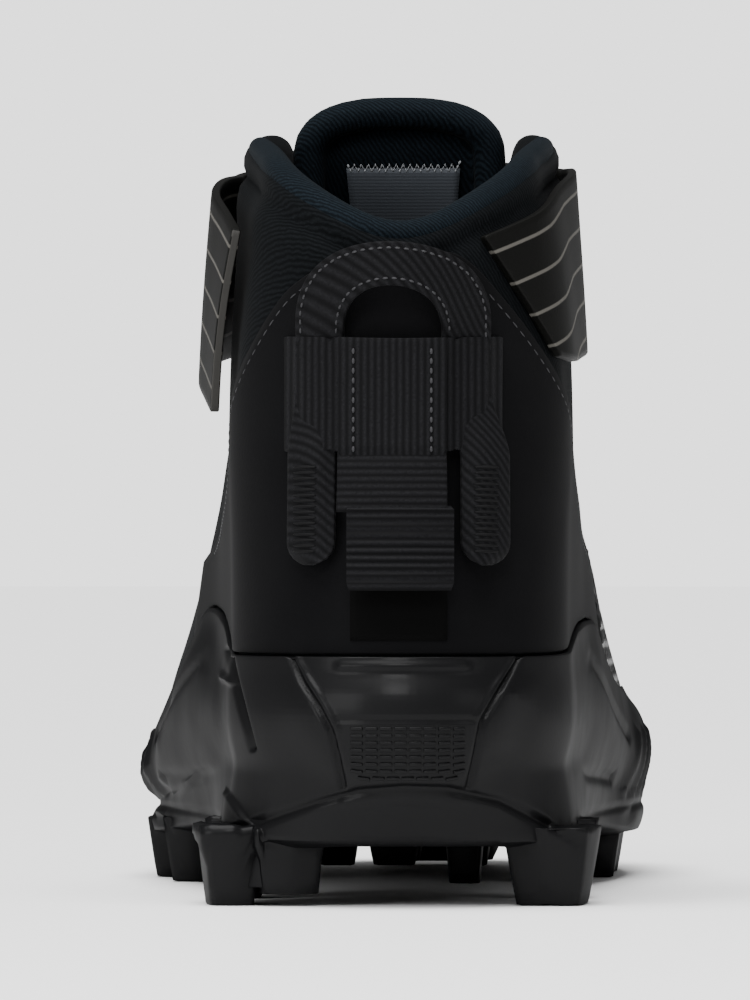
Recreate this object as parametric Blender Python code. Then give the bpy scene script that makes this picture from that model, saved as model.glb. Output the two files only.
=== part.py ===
"""Left american football cleat: a high-top with a moulded rubber cup sole and an ankle strap.

Metres, +Z up, toe towards +Y, big-toe side towards +X. The shoe stands on its lugs.
Every curved piece is a stretch of one surface, the skin of the last, lifted by its own
thickness. The skin runs round the foot from the heel to the toe on each side, and up from
the featherline, where the upper meets the sole, to the topline.
"""

import math
from collections import namedtuple
from functools import lru_cache

import bmesh
import bpy
from mathutils import Vector

# Driving sizes of the last and the upper
UPPER_LENGTH = 0.298
HEEL_WIDTH = 0.070
ANKLE_WIDTH = 0.075
BALL_WIDTH = 0.106
COLLAR_HEIGHT = 0.166
TOE_HEIGHT = 0.0615
WALL = 0.0022
COLLAR_PADDING = 0.0092
COLLAR_ROLL = 0.0040
THROAT_START = 0.372

# Driving sizes of the sole
BED_HEIGHT = 0.024
SOLE_THICKNESS = 0.010
CUP_HEIGHT = 0.056
CUP_WALL = 0.0034
CUP_LIP = 0.0018
INSOLE_THICKNESS = 0.0035

# Clearances
FIT = 0.0004
OVERLAY_FIT = 0.0006
EDGE_GAP = 0.0006

# Overlays and trim
PANEL_THICKNESS = 0.0010
SKIN_THICKNESS = 0.0009
WEBBING = 0.0014
LOOP_BAND = 0.0095
LOOP_WIDTH = 0.0385
LOOP_TOP = 0.1430
LOOP_LEAN = 0.0060
LOOP_FOOT = 0.0735
BAND_TOP = 0.1220
BAND_BOTTOM = 0.0975
BAND_WIDTH = 0.0455
TAB_WIDTH = 0.0200
TAB_BOTTOM = 0.0708
TAB_CENTRE = -0.0015
STRAP_THICKNESS = 0.0020
LACE_RADIUS = 0.0014
LACE_ROWS = 6
TONGUE_THICKNESS = 0.0050
TONGUE_TOP = 0.1765
TONGUE_HALF = 0.0245
TONGUE_CLIMB = Vector((0, 0.1, 1.6))
TONGUE_EDGE = 0.55
HOOD_POWER = 6
HOOD_DROP = 0.6

# The last: a row for each section. y is a share of the upper's length, turn is the way the
# section faces (-90 back, 0 sideways, 90 forwards) and mid is the middle line's x as a share
# of the ball width. lateral and medial are the half widths as shares of wide, and foot to
# top scale them at five levels. bed is a share of the bed height and z_low to z_top are
# shares of tall. crown tells how far the section closes over the foot.
Section = namedtuple(
    "Section",
    "name y turn mid wide lateral medial foot low middle high top bed tall z_low z_mid z_high z_top crown",
)
LENGTH, HEEL, ANKLE, BALL = UPPER_LENGTH, HEEL_WIDTH, ANKLE_WIDTH, BALL_WIDTH
COLLAR, TOE = COLLAR_HEIGHT, TOE_HEIGHT
LAST = [
    Section("heel back", 0.134, -90, 0, LENGTH, 0.129, 0.129, 0.88, 1, 0.93, 0.82, 0.810,
            1, COLLAR, 0.253, 0.452, 0.669, 0.850, 0),
    Section("heel corner", 0.134, -45, 0, HEEL, 0.525, 0.505, 0.88, 1, 0.975, 0.92, 0.80,
            1, COLLAR, 0.253, 0.452, 0.672, 0.905, 0),
    Section("heel side", 0.134, 0, 0, HEEL, 0.503, 0.483, 0.87, 1, 1.02, 1.03, 0.88,
            1, COLLAR, 0.247, 0.452, 0.685, 0.952, 0),
    Section("ankle", 0.252, 0, 0, ANKLE, 0.520, 0.485, 0.87, 0.985, 1, 1.00, 0.93,
            0.98, COLLAR, 0.241, 0.434, 0.700, 0.984, 0),
    Section("collar front", 0.352, 0, 0, ANKLE, 0.587, 0.527, 0.85, 1, 0.96, 0.875, 0.66,
            0.94, COLLAR, 0.238, 0.425, 0.690, 1, 0),
    Section("instep", 0.430, 0, -0.004, BALL, 0.458, 0.396, 0.84, 1, 0.96, 0.79, 0.45,
            0.88, COLLAR, 0.217, 0.392, 0.633, 0.813, 0.3),
    Section("waist", 0.520, 0, -0.008, BALL, 0.505, 0.425, 0.85, 1, 0.945, 0.69, 0.32,
            0.79, COLLAR, 0.193, 0.343, 0.524, 0.627, 0.7),
    Section("ball rear", 0.614, 0, -0.010, BALL, 0.540, 0.450, 0.87, 1, 0.93, 0.62, 0.235,
            0.71, TOE, 0.472, 0.797, 1.138, 1.300, 1),
    Section("throat", 0.672, 0, -0.008, BALL, 0.545, 0.457, 0.88, 1, 0.92, 0.58, 0.19,
            0.69, TOE, 0.457, 0.740, 1.065, 1.195, 1),
    Section("throat end", 0.690, 0, -0.004, BALL, 0.544, 0.456, 0.88, 1, 0.92, 0.56, 0.12,
            0.69, TOE, 0.456, 0.727, 1.043, 1.162, 1),
    Section("vamp", 0.698, 0, -0.002, BALL, 0.543, 0.455, 0.88, 1, 0.92, 0.55, 0,
            0.69, TOE, 0.455, 0.722, 1.035, 1.150, 1),
    Section("toe root", 0.789, 0, 0.018, BALL, 0.538, 0.430, 0.88, 1, 0.915, 0.55, 0,
            0.71, TOE, 0.455, 0.683, 0.918, 1, 1),
    Section("toe corner", 0.789, 45, 0.018, BALL, 0.510, 0.488, 0.88, 1, 0.925, 0.56, 0,
            0.80, TOE, 0.480, 0.670, 0.893, 1, 1),
    Section("toe tip", 0.789, 90, 0.018, LENGTH, 0.211, 0.211, 0.87, 1, 0.94, 0.60, 0,
            1.00, TOE, 0.520, 0.665, 0.850, 1, 1),
]

# The cup of the sole: for the same sections, the height of its top edge on each side as a
# share of the cup height, how far it stands off the upper as a share of the cup's wall, the
# flare of its foot in the same shares, and the thickness under the bed.
Cup = namedtuple("Cup", "lateral_edge medial_edge lateral_out medial_out flare thick")
CUP = [
    Cup(0.962, 0.962, 0.95, 0.95, -1.7, 1.00),
    Cup(0.962, 0.962, 0.95, 0.95, 0.7, 1.00),
    Cup(0.965, 0.975, 0.95, 0.95, 1.5, 1.00),
    Cup(1.11, 1.07, 1.05, 1.00, 1.0, 0.88),
    Cup(1.13, 1.08, 1.30, 1.10, 0.6, 0.78),
    Cup(0.93, 0.92, 1.40, 1.15, 0.8, 0.70),
    Cup(0.72, 0.80, 1.35, 1.10, 1.3, 0.64),
    Cup(0.59, 0.77, 1.15, 0.90, 1.7, 0.60),
    Cup(0.56, 0.77, 1.05, 0.85, 1.7, 0.58),
    Cup(0.555, 0.765, 1.00, 0.85, 1.7, 0.58),
    Cup(0.55, 0.76, 1.00, 0.85, 1.7, 0.58),
    Cup(0.55, 0.69, 1.00, 0.85, 1.4, 0.55),
    Cup(0.60, 0.62, 1.10, 1.00, 0.8, 0.52),
    Cup(0.72, 0.72, 1.20, 1.20, 0.0, 0.50),
]

LATERAL, MEDIAL = -1, 1
LEVELS = (0.0, 0.08, 0.16, 0.25, 0.34, 0.43, 0.52, 0.61, 0.70, 0.78, 0.85, 0.90, 0.95, 1.0)
HEEL_STEPS, SIDE_STEPS, TOE_STEPS = 9, 20, 8
TINY = 1e-4


def path_length(section):
    """Distance round the skin from the heel's middle to this section."""
    turned = math.radians(section.turn)
    return (HEEL_ARC * (min(turned, 0) / (math.pi / 2) + 1)
            + section.y * UPPER_LENGTH - HEEL_CENTRE
            + TOE_ARC * max(turned, 0) / (math.pi / 2))


HEEL_CENTRE = LAST[0].y * UPPER_LENGTH
TOE_CENTRE = LAST[-1].y * UPPER_LENGTH
HEEL_ARC = HEEL_WIDTH / 2 * math.pi / 2
TOE_ARC = BALL_WIDTH / 2 * math.pi / 2
SIDE_START = HEEL_ARC
SIDE_END = HEEL_ARC + TOE_CENTRE - HEEL_CENTRE
PATH_END = SIDE_END + TOE_ARC
KNOTS = [path_length(section) for section in LAST]
VAMP = [section.name for section in LAST].index("vamp")


def along(y):
    """Distance round the skin at which a sideways section lies at this y."""
    return SIDE_START + y - HEEL_CENTRE


def turned(degrees):
    """Distance round the skin at which the heel's sections face this way, -90 to 0."""
    return HEEL_ARC * (degrees / 90 + 1)


def easy_slopes(values):
    """Slopes of a cubic that goes through the values without overshooting them."""
    slopes = [0.0] * len(values)
    for i in range(1, len(values) - 1):
        before, after = KNOTS[i] - KNOTS[i - 1], KNOTS[i + 1] - KNOTS[i]
        fall, rise = (values[i] - values[i - 1]) / before, (values[i + 1] - values[i]) / after
        if fall * rise > 0:
            one, two = 2 * after + before, after + 2 * before
            slopes[i] = (one + two) / (one / fall + two / rise)
    return slopes


def prepared(rows, columns):
    """For each column, its values at the knots and their slopes."""
    made = {}
    for name, value in columns.items():
        values = [value(row) for row in rows]
        made[name] = (values, easy_slopes(values))
    return made


def read(table, name, s):
    """One column's value at distance s round the skin."""
    values, slopes = table[name]
    i = max(0, min(len(KNOTS) - 2, sum(knot <= s for knot in KNOTS) - 1))
    step = KNOTS[i + 1] - KNOTS[i]
    t = (s - KNOTS[i]) / step
    return (values[i] * (1 + 2 * t) * (1 - t) ** 2 + slopes[i] * step * t * (1 - t) ** 2
            + values[i + 1] * t * t * (3 - 2 * t) + slopes[i + 1] * step * t * t * (t - 1))


LAST_TABLE = prepared(LAST, {
    "mid": lambda row: row.mid * BALL_WIDTH,
    "lateral": lambda row: row.lateral * row.wide,
    "medial": lambda row: row.medial * row.wide,
    "foot": lambda row: row.foot,
    "low": lambda row: row.low,
    "middle": lambda row: row.middle,
    "high": lambda row: row.high,
    "top": lambda row: row.top,
    "bed": lambda row: row.bed * BED_HEIGHT,
    "z_low": lambda row: row.z_low * row.tall,
    "z_mid": lambda row: row.z_mid * row.tall,
    "z_high": lambda row: row.z_high * row.tall,
    "z_top": lambda row: row.z_top * row.tall,
    "crown": lambda row: row.crown,
})
CUP_TABLE = prepared(CUP, {
    "lateral_edge": lambda row: row.lateral_edge * CUP_HEIGHT,
    "medial_edge": lambda row: row.medial_edge * CUP_HEIGHT,
    "lateral_out": lambda row: row.lateral_out * CUP_WALL,
    "medial_out": lambda row: row.medial_out * CUP_WALL,
    "flare": lambda row: row.flare * CUP_WALL,
    "thick": lambda row: row.thick * SOLE_THICKNESS,
})


@lru_cache(maxsize=None)
def facing(side, s):
    """The middle line's point and the outward level direction of the section at s."""
    if s < SIDE_START:
        y, turn = HEEL_CENTRE, s / HEEL_ARC * math.pi / 2 - math.pi / 2
    elif s <= SIDE_END:
        y, turn = HEEL_CENTRE + s - SIDE_START, 0.0
    else:
        y, turn = TOE_CENTRE, (s - SIDE_END) / TOE_ARC * math.pi / 2
    middle = Vector((read(LAST_TABLE, "mid", s), y, 0))
    return middle, Vector((side * math.cos(turn), math.sin(turn), 0))


@lru_cache(maxsize=None)
def profile(side, s):
    """The section's points, as distance from the middle line and height, and one past each end."""
    half = read(LAST_TABLE, "lateral" if side == LATERAL else "medial", s)
    reach = [half * read(LAST_TABLE, name, s) for name in ("foot", "low", "middle", "high", "top")]
    rise = [read(LAST_TABLE, name, s) for name in ("bed", "z_low", "z_mid", "z_high", "z_top")]
    points = list(zip(reach, rise))
    crown = read(LAST_TABLE, "crown", s)
    (r3, z3), (r4, z4) = points[3], points[4]
    beyond = (2 * r4 - r3, (1 - crown) * (2 * z4 - z3) + crown * z3)
    (r0, z0), (r1, z1) = points[0], points[1]
    return [(2 * r0 - r1, 2 * z0 - z1), *points, beyond]


def skin_point(side, s, level):
    """A point of the skin, level 0 at the featherline and 1 at the topline."""
    points = profile(side, s)
    spot = min(max(level, 0.0), 1.0) * 4
    i = min(int(spot), 3)
    t = spot - i
    reach, height = (
        0.5 * (2 * b + (c - a) * t + (2 * a - 5 * b + 4 * c - d) * t * t
               + (3 * b - a - 3 * c + d) * t ** 3)
        for a, b, c, d in zip(*points[i:i + 4])
    )
    middle, outward = facing(side, s)
    return middle + outward * reach + Vector((0, 0, height))


def skin_normal(side, s, level):
    """The skin's outward direction."""
    step = 0.0005
    low, high = max(level - 0.004, 0), min(level + 0.004, 1)
    if high == 1 and s > SIDE_END - TINY:
        return Vector((0, 0, 1))
    forward = (skin_point(side, min(s + step, PATH_END), level)
               - skin_point(side, max(s - step, 0), level))
    upward = skin_point(side, s, high) - skin_point(side, s, low)
    normal = forward.cross(upward) * side
    if s < TINY or s > PATH_END - TINY or (high == 1 and not open_at(s)):
        normal.x = 0
    return normal.normalized()


def open_at(s):
    """Whether the upper is open on top at this section."""
    return s < KNOTS[VAMP] - TINY


def skin(side, s, level, lift=0.0):
    """A point at this lift off the skin."""
    return skin_point(side, s, level) + skin_normal(side, s, level) * lift


@lru_cache(maxsize=None)
def level_at(side, s, z):
    """The level at which the skin is this high."""
    low, high = 0.0, 1.0
    for _ in range(24):
        half = (low + high) / 2
        if skin_point(side, s, half).z < z:
            low = half
        else:
            high = half
    return low


def skin_at(side, s, z, lift=0.0):
    """A point off the skin, found by its height."""
    return skin(side, s, level_at(side, s, z), lift)


def behind(x, z, lift=0.0):
    """A point off the heel's skin, found by its x and its height."""
    side = LATERAL if x < 0 else MEDIAL
    low, high = 0.0, SIDE_START
    for _ in range(24):
        half = (low + high) / 2
        if abs(skin_at(side, half, z).x) < abs(x):
            low = half
        else:
            high = half
    return skin_at(side, low, z, lift)


def steps(low, high, count):
    """Evenly spaced values, both ends included."""
    return [low + (high - low) * i / count for i in range(count + 1)]


def mix(low, high, share):
    return low + (high - low) * share


def eased(share):
    """A step from 0 to 1 with soft ends."""
    share = min(max(share, 0.0), 1.0)
    return share * share * (3 - 2 * share)


THROAT = {section.name: knot for section, knot in zip(LAST, KNOTS)}
STATIONS = (steps(0, SIDE_START, HEEL_STEPS)[:-1] + steps(SIDE_START, SIDE_END, SIDE_STEPS)
            + steps(SIDE_END, PATH_END, TOE_STEPS)[1:])
STATIONS = [s for s in STATIONS if not THROAT["throat"] - 0.004 < s < THROAT["vamp"] + 0.002]
STATIONS = sorted(STATIONS + [THROAT[name] for name in ("throat", "throat end", "vamp")])
RING = [(LATERAL, s) for s in STATIONS] + [(MEDIAL, s) for s in reversed(STATIONS[1:-1])]


def stations_between(low, high):
    """The ring's own stations within a stretch, with the stretch's two ends."""
    return [low] + [s for s in STATIONS if low + 0.002 < s < high - 0.002] + [high]


def levels_between(low, high):
    """The upper's own levels within a stretch, with the stretch's two ends."""
    return [low] + [level for level in LEVELS if low + 0.005 < level < high - 0.005] + [high]


def new_object(name, mesh, material):
    shape = bpy.data.objects.new(name, mesh)
    shape.data.materials.append(material)
    PARTS.objects.link(shape)
    return shape


def mesh_from_grids(name, faces_of):
    """A mesh from a list of quads of points, welded, with its faces outward."""
    bm = bmesh.new()
    for quad in faces_of:
        corners = [bm.verts.new(point) for point in quad]
        bm.faces.new(corners)
    bmesh.ops.remove_doubles(bm, verts=bm.verts, dist=2e-6)
    bmesh.ops.dissolve_degenerate(bm, dist=2e-6, edges=bm.edges)
    bmesh.ops.recalc_face_normals(bm, faces=bm.faces)
    mesh = bpy.data.meshes.new(name)
    bm.to_mesh(mesh)
    bm.free()
    mesh.shade_smooth()
    mesh.set_sharp_from_angle(angle=math.radians(40))
    return mesh


def grid_quads(grid, ring=False):
    """The quads between the columns of a grid of points."""
    quads = []
    pairs = list(zip(grid, grid[1:])) + ([(grid[-1], grid[0])] if ring else [])
    for one, two in pairs:
        for j in range(len(one) - 1):
            quads.append((one[j], two[j], two[j + 1], one[j + 1]))
    return quads


def slab_quads(outer, inner):
    """The quads of a piece between two grids of points, closed round its edge."""
    quads = grid_quads(outer) + grid_quads(inner)
    for low, high in ((outer[0], inner[0]), (outer[-1], inner[-1])):
        quads += grid_quads([low, high])
    for j in (0, -1):
        quads += grid_quads([[column[j] for column in outer], [column[j] for column in inner]])
    return quads


def slab(name, outer, inner, material):
    return new_object(name, mesh_from_grids(name, slab_quads(outer, inner)), material)


def material(name, colour, roughness, metallic=0.0):
    made = bpy.data.materials.new(name)
    made.use_nodes = True
    shader = made.node_tree.nodes["Principled BSDF"]
    shader.inputs["Base Color"].default_value = (*colour, 1)
    shader.inputs["Roughness"].default_value = roughness
    shader.inputs["Metallic"].default_value = metallic
    return made


def wall_at(s, level):
    """The upper's wall, thicker where the collar is padded."""
    padded = eased((level - 0.62) / 0.22) * (1 - eased((s - along(0.30 * UPPER_LENGTH)) / 0.03))
    rim = 1 - 0.35 * eased((level - 0.93) / 0.07)
    return WALL + (COLLAR_PADDING - WALL) * padded * rim


def build_upper(cloth):
    """The hollow upper, open at the collar, along the throat and underneath."""
    outer = [[skin(side, s, level) for level in LEVELS] for side, s in RING]
    inner = [[skin(side, s, level, -wall_at(s, level)) for level in LEVELS] for side, s in RING]
    roll = []
    for (side, s), out, back in zip(RING, outer, inner):
        middle = (out[-1] + back[-1]) / 2
        upward = (out[-1] - out[-2]).normalized()
        roll.append(middle + upward * (COLLAR_ROLL * wall_at(s, 0.9) / COLLAR_PADDING
                                       if open_at(s) else 0))
    quads = grid_quads(outer, True) + grid_quads(inner, True)
    quads += grid_quads([[out[0], back[0]] for out, back in zip(outer, inner)], True)
    count = len(RING)
    for i in range(count):
        j = (i + 1) % count
        if open_at(RING[i][1]) or open_at(RING[j][1]):
            quads.append((outer[i][-1], outer[j][-1], roll[j], roll[i]))
            quads.append((roll[i], roll[j], inner[j][-1], inner[i][-1]))
    return new_object("upper", mesh_from_grids("upper", quads), cloth)


def cup_edge(side, s):
    return read(CUP_TABLE, "lateral_edge" if side == LATERAL else "medial_edge", s)


def cup_out(side, s):
    return read(CUP_TABLE, "lateral_out" if side == LATERAL else "medial_out", s)


# Raised fields on the cup's outer face. Each has rows of distance round the skin, low edge
# and high edge as shares of the cup's height.
RELIEF = 0.0018
RELIEF_SLOPE = 0.07
Field = namedtuple("Field", "s low high")
FIELDS = {
    LATERAL: [
        [Field(0, 0.34, 0.94), Field(turned(-73), 0.34, 0.94), Field(turned(-52), 0.80, 0.94)],
        [Field(along(0.215 * LENGTH), 0.62, 0.80), Field(along(0.300 * LENGTH), 0.36, 0.94),
         Field(along(0.440 * LENGTH), 0.34, 0.94), Field(along(0.540 * LENGTH), 0.50, 0.70)],
        [Field(along(0.560 * LENGTH), 0.40, 0.74), Field(along(0.600 * LENGTH), 0.10, 0.92),
         Field(along(0.700 * LENGTH), 0.10, 0.92), Field(along(0.760 * LENGTH), 0.30, 0.74)],
    ],
    MEDIAL: [
        [Field(0, 0.34, 0.94), Field(turned(-68), 0.34, 0.94), Field(turned(-48), 0.80, 0.94)],
        [Field(along(0.570 * LENGTH), 0.36, 0.70), Field(along(0.620 * LENGTH), 0.10, 0.92),
         Field(along(0.740 * LENGTH), 0.10, 0.92), Field(along(0.800 * LENGTH), 0.30, 0.70)],
    ],
}


# Below this share of its height the cup's outer face is straight, and there it meets the
# part that follows the skin, at this share of the way up the skin.
CUP_STRAIGHT = 0.5
CUP_STRAIGHT_LEVEL = 0.35


def raised(side, s, share):
    """How much of a raised field there is at this place, 0 to 1."""
    for rows in FIELDS[side]:
        for one, two in zip(rows, rows[1:]):
            if one.s <= s < two.s:
                part = (s - one.s) / (two.s - one.s)
                low, high = mix(one.low, two.low, part), mix(one.high, two.high, part)
                return eased((share - low) / RELIEF_SLOPE) * eased((high - share) / RELIEF_SLOPE)
    return 0.0


def cup_outside(side, s, share):
    """The cup's outer face, share 0 at its foot and 1 at its top edge."""
    bed = read(LAST_TABLE, "bed", s)
    bottom = bed - read(CUP_TABLE, "thick", s)
    edge_level = level_at(side, s, cup_edge(side, s))
    middle, outward = facing(side, s)
    relief = RELIEF * raised(side, s, share)
    bulge = cup_out(side, s) + relief
    climb = max(0.0, (share - CUP_STRAIGHT) / (1 - CUP_STRAIGHT))
    lift = FIT + mix(bulge, CUP_LIP + relief, eased((climb - 0.4) / 0.6))
    spot = skin(side, s, edge_level * mix(CUP_STRAIGHT_LEVEL, 1, climb), lift)
    if share >= CUP_STRAIGHT:
        return spot
    foot = skin_point(side, s, 0) + outward * (bulge + read(CUP_TABLE, "flare", s))
    foot.z = bottom
    return foot.lerp(spot, share / CUP_STRAIGHT)


# The rows of the cup's outer face as shares of its height, the ring of points in its bed as a
# share of the way out, and how far its underside bulges, as a share of the sole's thickness.
CUP_ROWS = (1, 0.94, 0.87, 0.74, 0.61, 0.50, 0.41, 0.32, 0.17, 0)
BED_RING = 0.6
BELLY = 0.12


def build_cup():
    """The sole's cup: bed, wall against the upper, outer face and underside."""
    grid = []
    for side, s in RING:
        middle = facing(side, s)[0]
        bed = read(LAST_TABLE, "bed", s)
        centre_s = min(max(s, SIDE_START), SIDE_END)
        bed_middle = read(LAST_TABLE, "bed", centre_s)
        under_middle = bed_middle - read(CUP_TABLE, "thick", centre_s)
        edge_level = level_at(side, s, cup_edge(side, s))
        levels = [level for level in LEVELS if level < 0.3]
        levels += steps(levels[-1], edge_level, 3)[1:]
        inside = [skin(side, s, level, FIT) for level in levels]
        corner = Vector((inside[0].x, inside[0].y, bed - FIT))
        centre = middle + Vector((0, 0, bed_middle - FIT))
        column = [centre, centre.lerp(corner, BED_RING), corner, *inside]
        column += [cup_outside(side, s, share) for share in CUP_ROWS]
        foot = column[-1]
        belly = Vector((0, 0, SOLE_THICKNESS * BELLY))
        inset = foot.lerp(Vector((middle.x, middle.y, foot.z)), BELLY) - belly
        column += [inset, middle + Vector((0, 0, under_middle)) - belly]
        grid.append(column)
    return mesh_from_grids("outsole", grid_quads(grid, True))


# The lugs: middle x and y, width, length, turn in degrees, slope of the sides and how far
# the tip stands off the floor. x is a share of the ball width, y of the upper's length, and
# width and length are shares of the lug size.
LUG_SIZE = 0.020
LUG_SQUARENESS = 1.25
LUG_ROOT = 0.3
Lug = namedtuple("Lug", "x y width length turn taper tip")
LUGS = [
    Lug(-0.353, 0.105, 0.62, 1.30, 6, 0.16, 0),
    Lug(-0.232, 0.088, 0.74, 1.00, 6, 0.09, 0.0025),
    Lug(0.306, 0.105, 0.92, 1.30, -6, 0.16, 0),
    Lug(-0.345, 0.225, 0.62, 0.90, 0, 0.18, 0),
    Lug(0.335, 0.225, 0.62, 0.90, 0, 0.18, 0),
    Lug(0.120, 0.250, 0.42, 0.60, 0, 0.16, 0.003),
    Lug(-0.475, 0.560, 0.60, 1.10, -4, 0.18, 0),
    Lug(-0.525, 0.655, 0.60, 1.00, 0, 0.18, 0),
    Lug(-0.500, 0.745, 0.60, 1.00, 8, 0.18, 0),
    Lug(-0.415, 0.830, 0.60, 0.95, 26, 0.18, 0),
    Lug(0.315, 0.560, 0.60, 1.10, 6, 0.18, 0),
    Lug(0.380, 0.655, 0.60, 1.00, 2, 0.18, 0),
    Lug(0.385, 0.745, 0.60, 1.00, -6, 0.18, 0),
    Lug(0.345, 0.830, 0.60, 0.95, -22, 0.18, 0),
    Lug(0.030, 0.905, 1.60, 0.60, 0, 0.16, 0.001),
    Lug(-0.050, 0.620, 0.60, 0.55, 0, 0.16, 0.003),
    Lug(-0.180, 0.710, 0.50, 0.60, 0, 0.16, 0.002),
    Lug(0.110, 0.710, 0.50, 0.60, 0, 0.16, 0.002),
    Lug(-0.050, 0.800, 0.60, 0.55, 0, 0.16, 0.002),
]


def build_lugs():
    """All lugs as one cutter mesh: blocks with rounded plan and sloped sides."""
    bm = bmesh.new()
    for lug in LUGS:
        s = along(lug.y * UPPER_LENGTH)
        s = min(max(s, SIDE_START), SIDE_END)
        under = read(LAST_TABLE, "bed", s) - read(CUP_TABLE, "thick", s)
        if lug.y * UPPER_LENGTH > TOE_CENTRE:
            ahead = (lug.y * UPPER_LENGTH - TOE_CENTRE) / (UPPER_LENGTH - TOE_CENTRE)
            under += ahead * (BED_HEIGHT * (LAST[-1].bed - LAST[-3].bed))
        top = under + LUG_ROOT * SOLE_THICKNESS
        made = bmesh.ops.create_cone(bm, cap_ends=True, segments=8, radius1=0.5 * (1 - lug.taper),
                                     radius2=0.5 * (1 + lug.taper), depth=1)
        turn = math.radians(lug.turn)
        for vert in made["verts"]:
            squared = [math.copysign(min(abs(value) * LUG_SQUARENESS, 0.5 * (1 + lug.taper * 2 * vert.co.z)),
                                     value) for value in vert.co.xy]
            x = squared[0] * lug.width * LUG_SIZE
            y = squared[1] * lug.length * LUG_SIZE
            vert.co = Vector((
                lug.x * BALL_WIDTH + x * math.cos(turn) - y * math.sin(turn),
                lug.y * UPPER_LENGTH + x * math.sin(turn) + y * math.cos(turn),
                mix(lug.tip, top, vert.co.z + 0.5),
            ))
    bmesh.ops.recalc_face_normals(bm, faces=bm.faces)
    mesh = bpy.data.meshes.new("lugs")
    bm.to_mesh(mesh)
    bm.free()
    return mesh


def cutter(name, mesh):
    shape = bpy.data.objects.new(name, mesh)
    shape.hide_render = True
    shape.display_type = "WIRE"
    CUTTERS.objects.link(shape)
    return shape


def unite(shape, other):
    """Joins the other mesh to the shape. Its own blocks may overlap."""
    joined = shape.modifiers.new(other.name, "BOOLEAN")
    joined.operation = "UNION"
    joined.solver = "EXACT"
    joined.use_self = True
    joined.object = other


def heel_columns(reach_lateral, reach_medial):
    """Columns across the heel, from the lateral side to the medial side."""
    lateral = stations_between(0, reach_lateral)
    medial = stations_between(0, reach_medial)
    return [(LATERAL, s) for s in reversed(lateral)] + [(MEDIAL, s) for s in medial[1:]]


def build_outsole(rubber):
    sole = new_object("outsole", build_cup(), rubber)
    unite(sole, cutter("lugs", build_lugs()))
    return sole


def build_insole(foam):
    """A thin bed inside the upper's wall."""
    upper_side, lower_side = [], []
    for side, s in RING:
        middle, outward = facing(side, s)
        foot = (skin_point(side, s, 0) - middle).dot(outward)
        reach = foot - (WALL + 2 * FIT) / skin_normal(side, s, 0.02).dot(outward)
        centre_s = min(max(s, SIDE_START), SIDE_END)
        bed_middle = read(LAST_TABLE, "bed", centre_s)
        bed = read(LAST_TABLE, "bed", s)
        low, high = [], []
        for share in (0, 1):
            spot = middle + outward * reach * share
            base = mix(bed_middle, bed, share)
            low.append(spot + Vector((0, 0, base + FIT * 0.5)))
            high.append(spot + Vector((0, 0, base + INSOLE_THICKNESS)))
        upper_side.append(high)
        lower_side.append(low)
    quads = grid_quads(upper_side, True) + grid_quads(lower_side, True)
    quads += grid_quads([[high[-1], low[-1]] for high, low in zip(upper_side, lower_side)], True)
    return new_object("insole", mesh_from_grids("insole", quads), foam)


def throat_frame(s):
    """The throat's two edges at s, their middle and the way out of the foot there."""
    edges = {side: skin_point(side, s, 1) for side in (LATERAL, MEDIAL)}
    normal = skin_normal(LATERAL, s, 1) + skin_normal(MEDIAL, s, 1)
    normal.x = 0
    return edges, (edges[LATERAL] + edges[MEDIAL]) / 2, normal.normalized()


def through(points, count):
    """A smooth curve through the points, with count steps between each two."""
    full = [2 * points[0] - points[1], *points, 2 * points[-1] - points[-2]]
    made = []
    for a, b, c, d in zip(full, full[1:], full[2:], full[3:]):
        for t in [i / count for i in range(count)]:
            made.append(0.5 * (2 * b + (c - a) * t + (2 * a - 5 * b + 4 * c - d) * t * t
                               + (3 * b - a - 3 * c + d) * t ** 3))
    return made + [points[-1]]


TONGUE_TUCK = 0.14
TONGUE_RISE = 0.0030


def tongue_row(s):
    """A row across the tongue's outer face: under one edge of the throat, over, and under."""
    edges, middle, normal = throat_frame(s)
    def under(side, level):
        return skin(side, s, level, -wall_at(s, level) - 5 * FIT)

    rim = {side: under(side, 1) for side in edges}
    between = {side: under(side, 1 - TONGUE_TUCK / 2) for side in edges}
    tucked = {side: under(side, 1 - TONGUE_TUCK) for side in edges}
    top = middle + normal * (TONGUE_RISE * read(LAST_TABLE, "crown", s) - WALL / 2)
    return [tucked[LATERAL], between[LATERAL], rim[LATERAL], top,
            rim[MEDIAL], between[MEDIAL], tucked[MEDIAL]], normal


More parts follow.
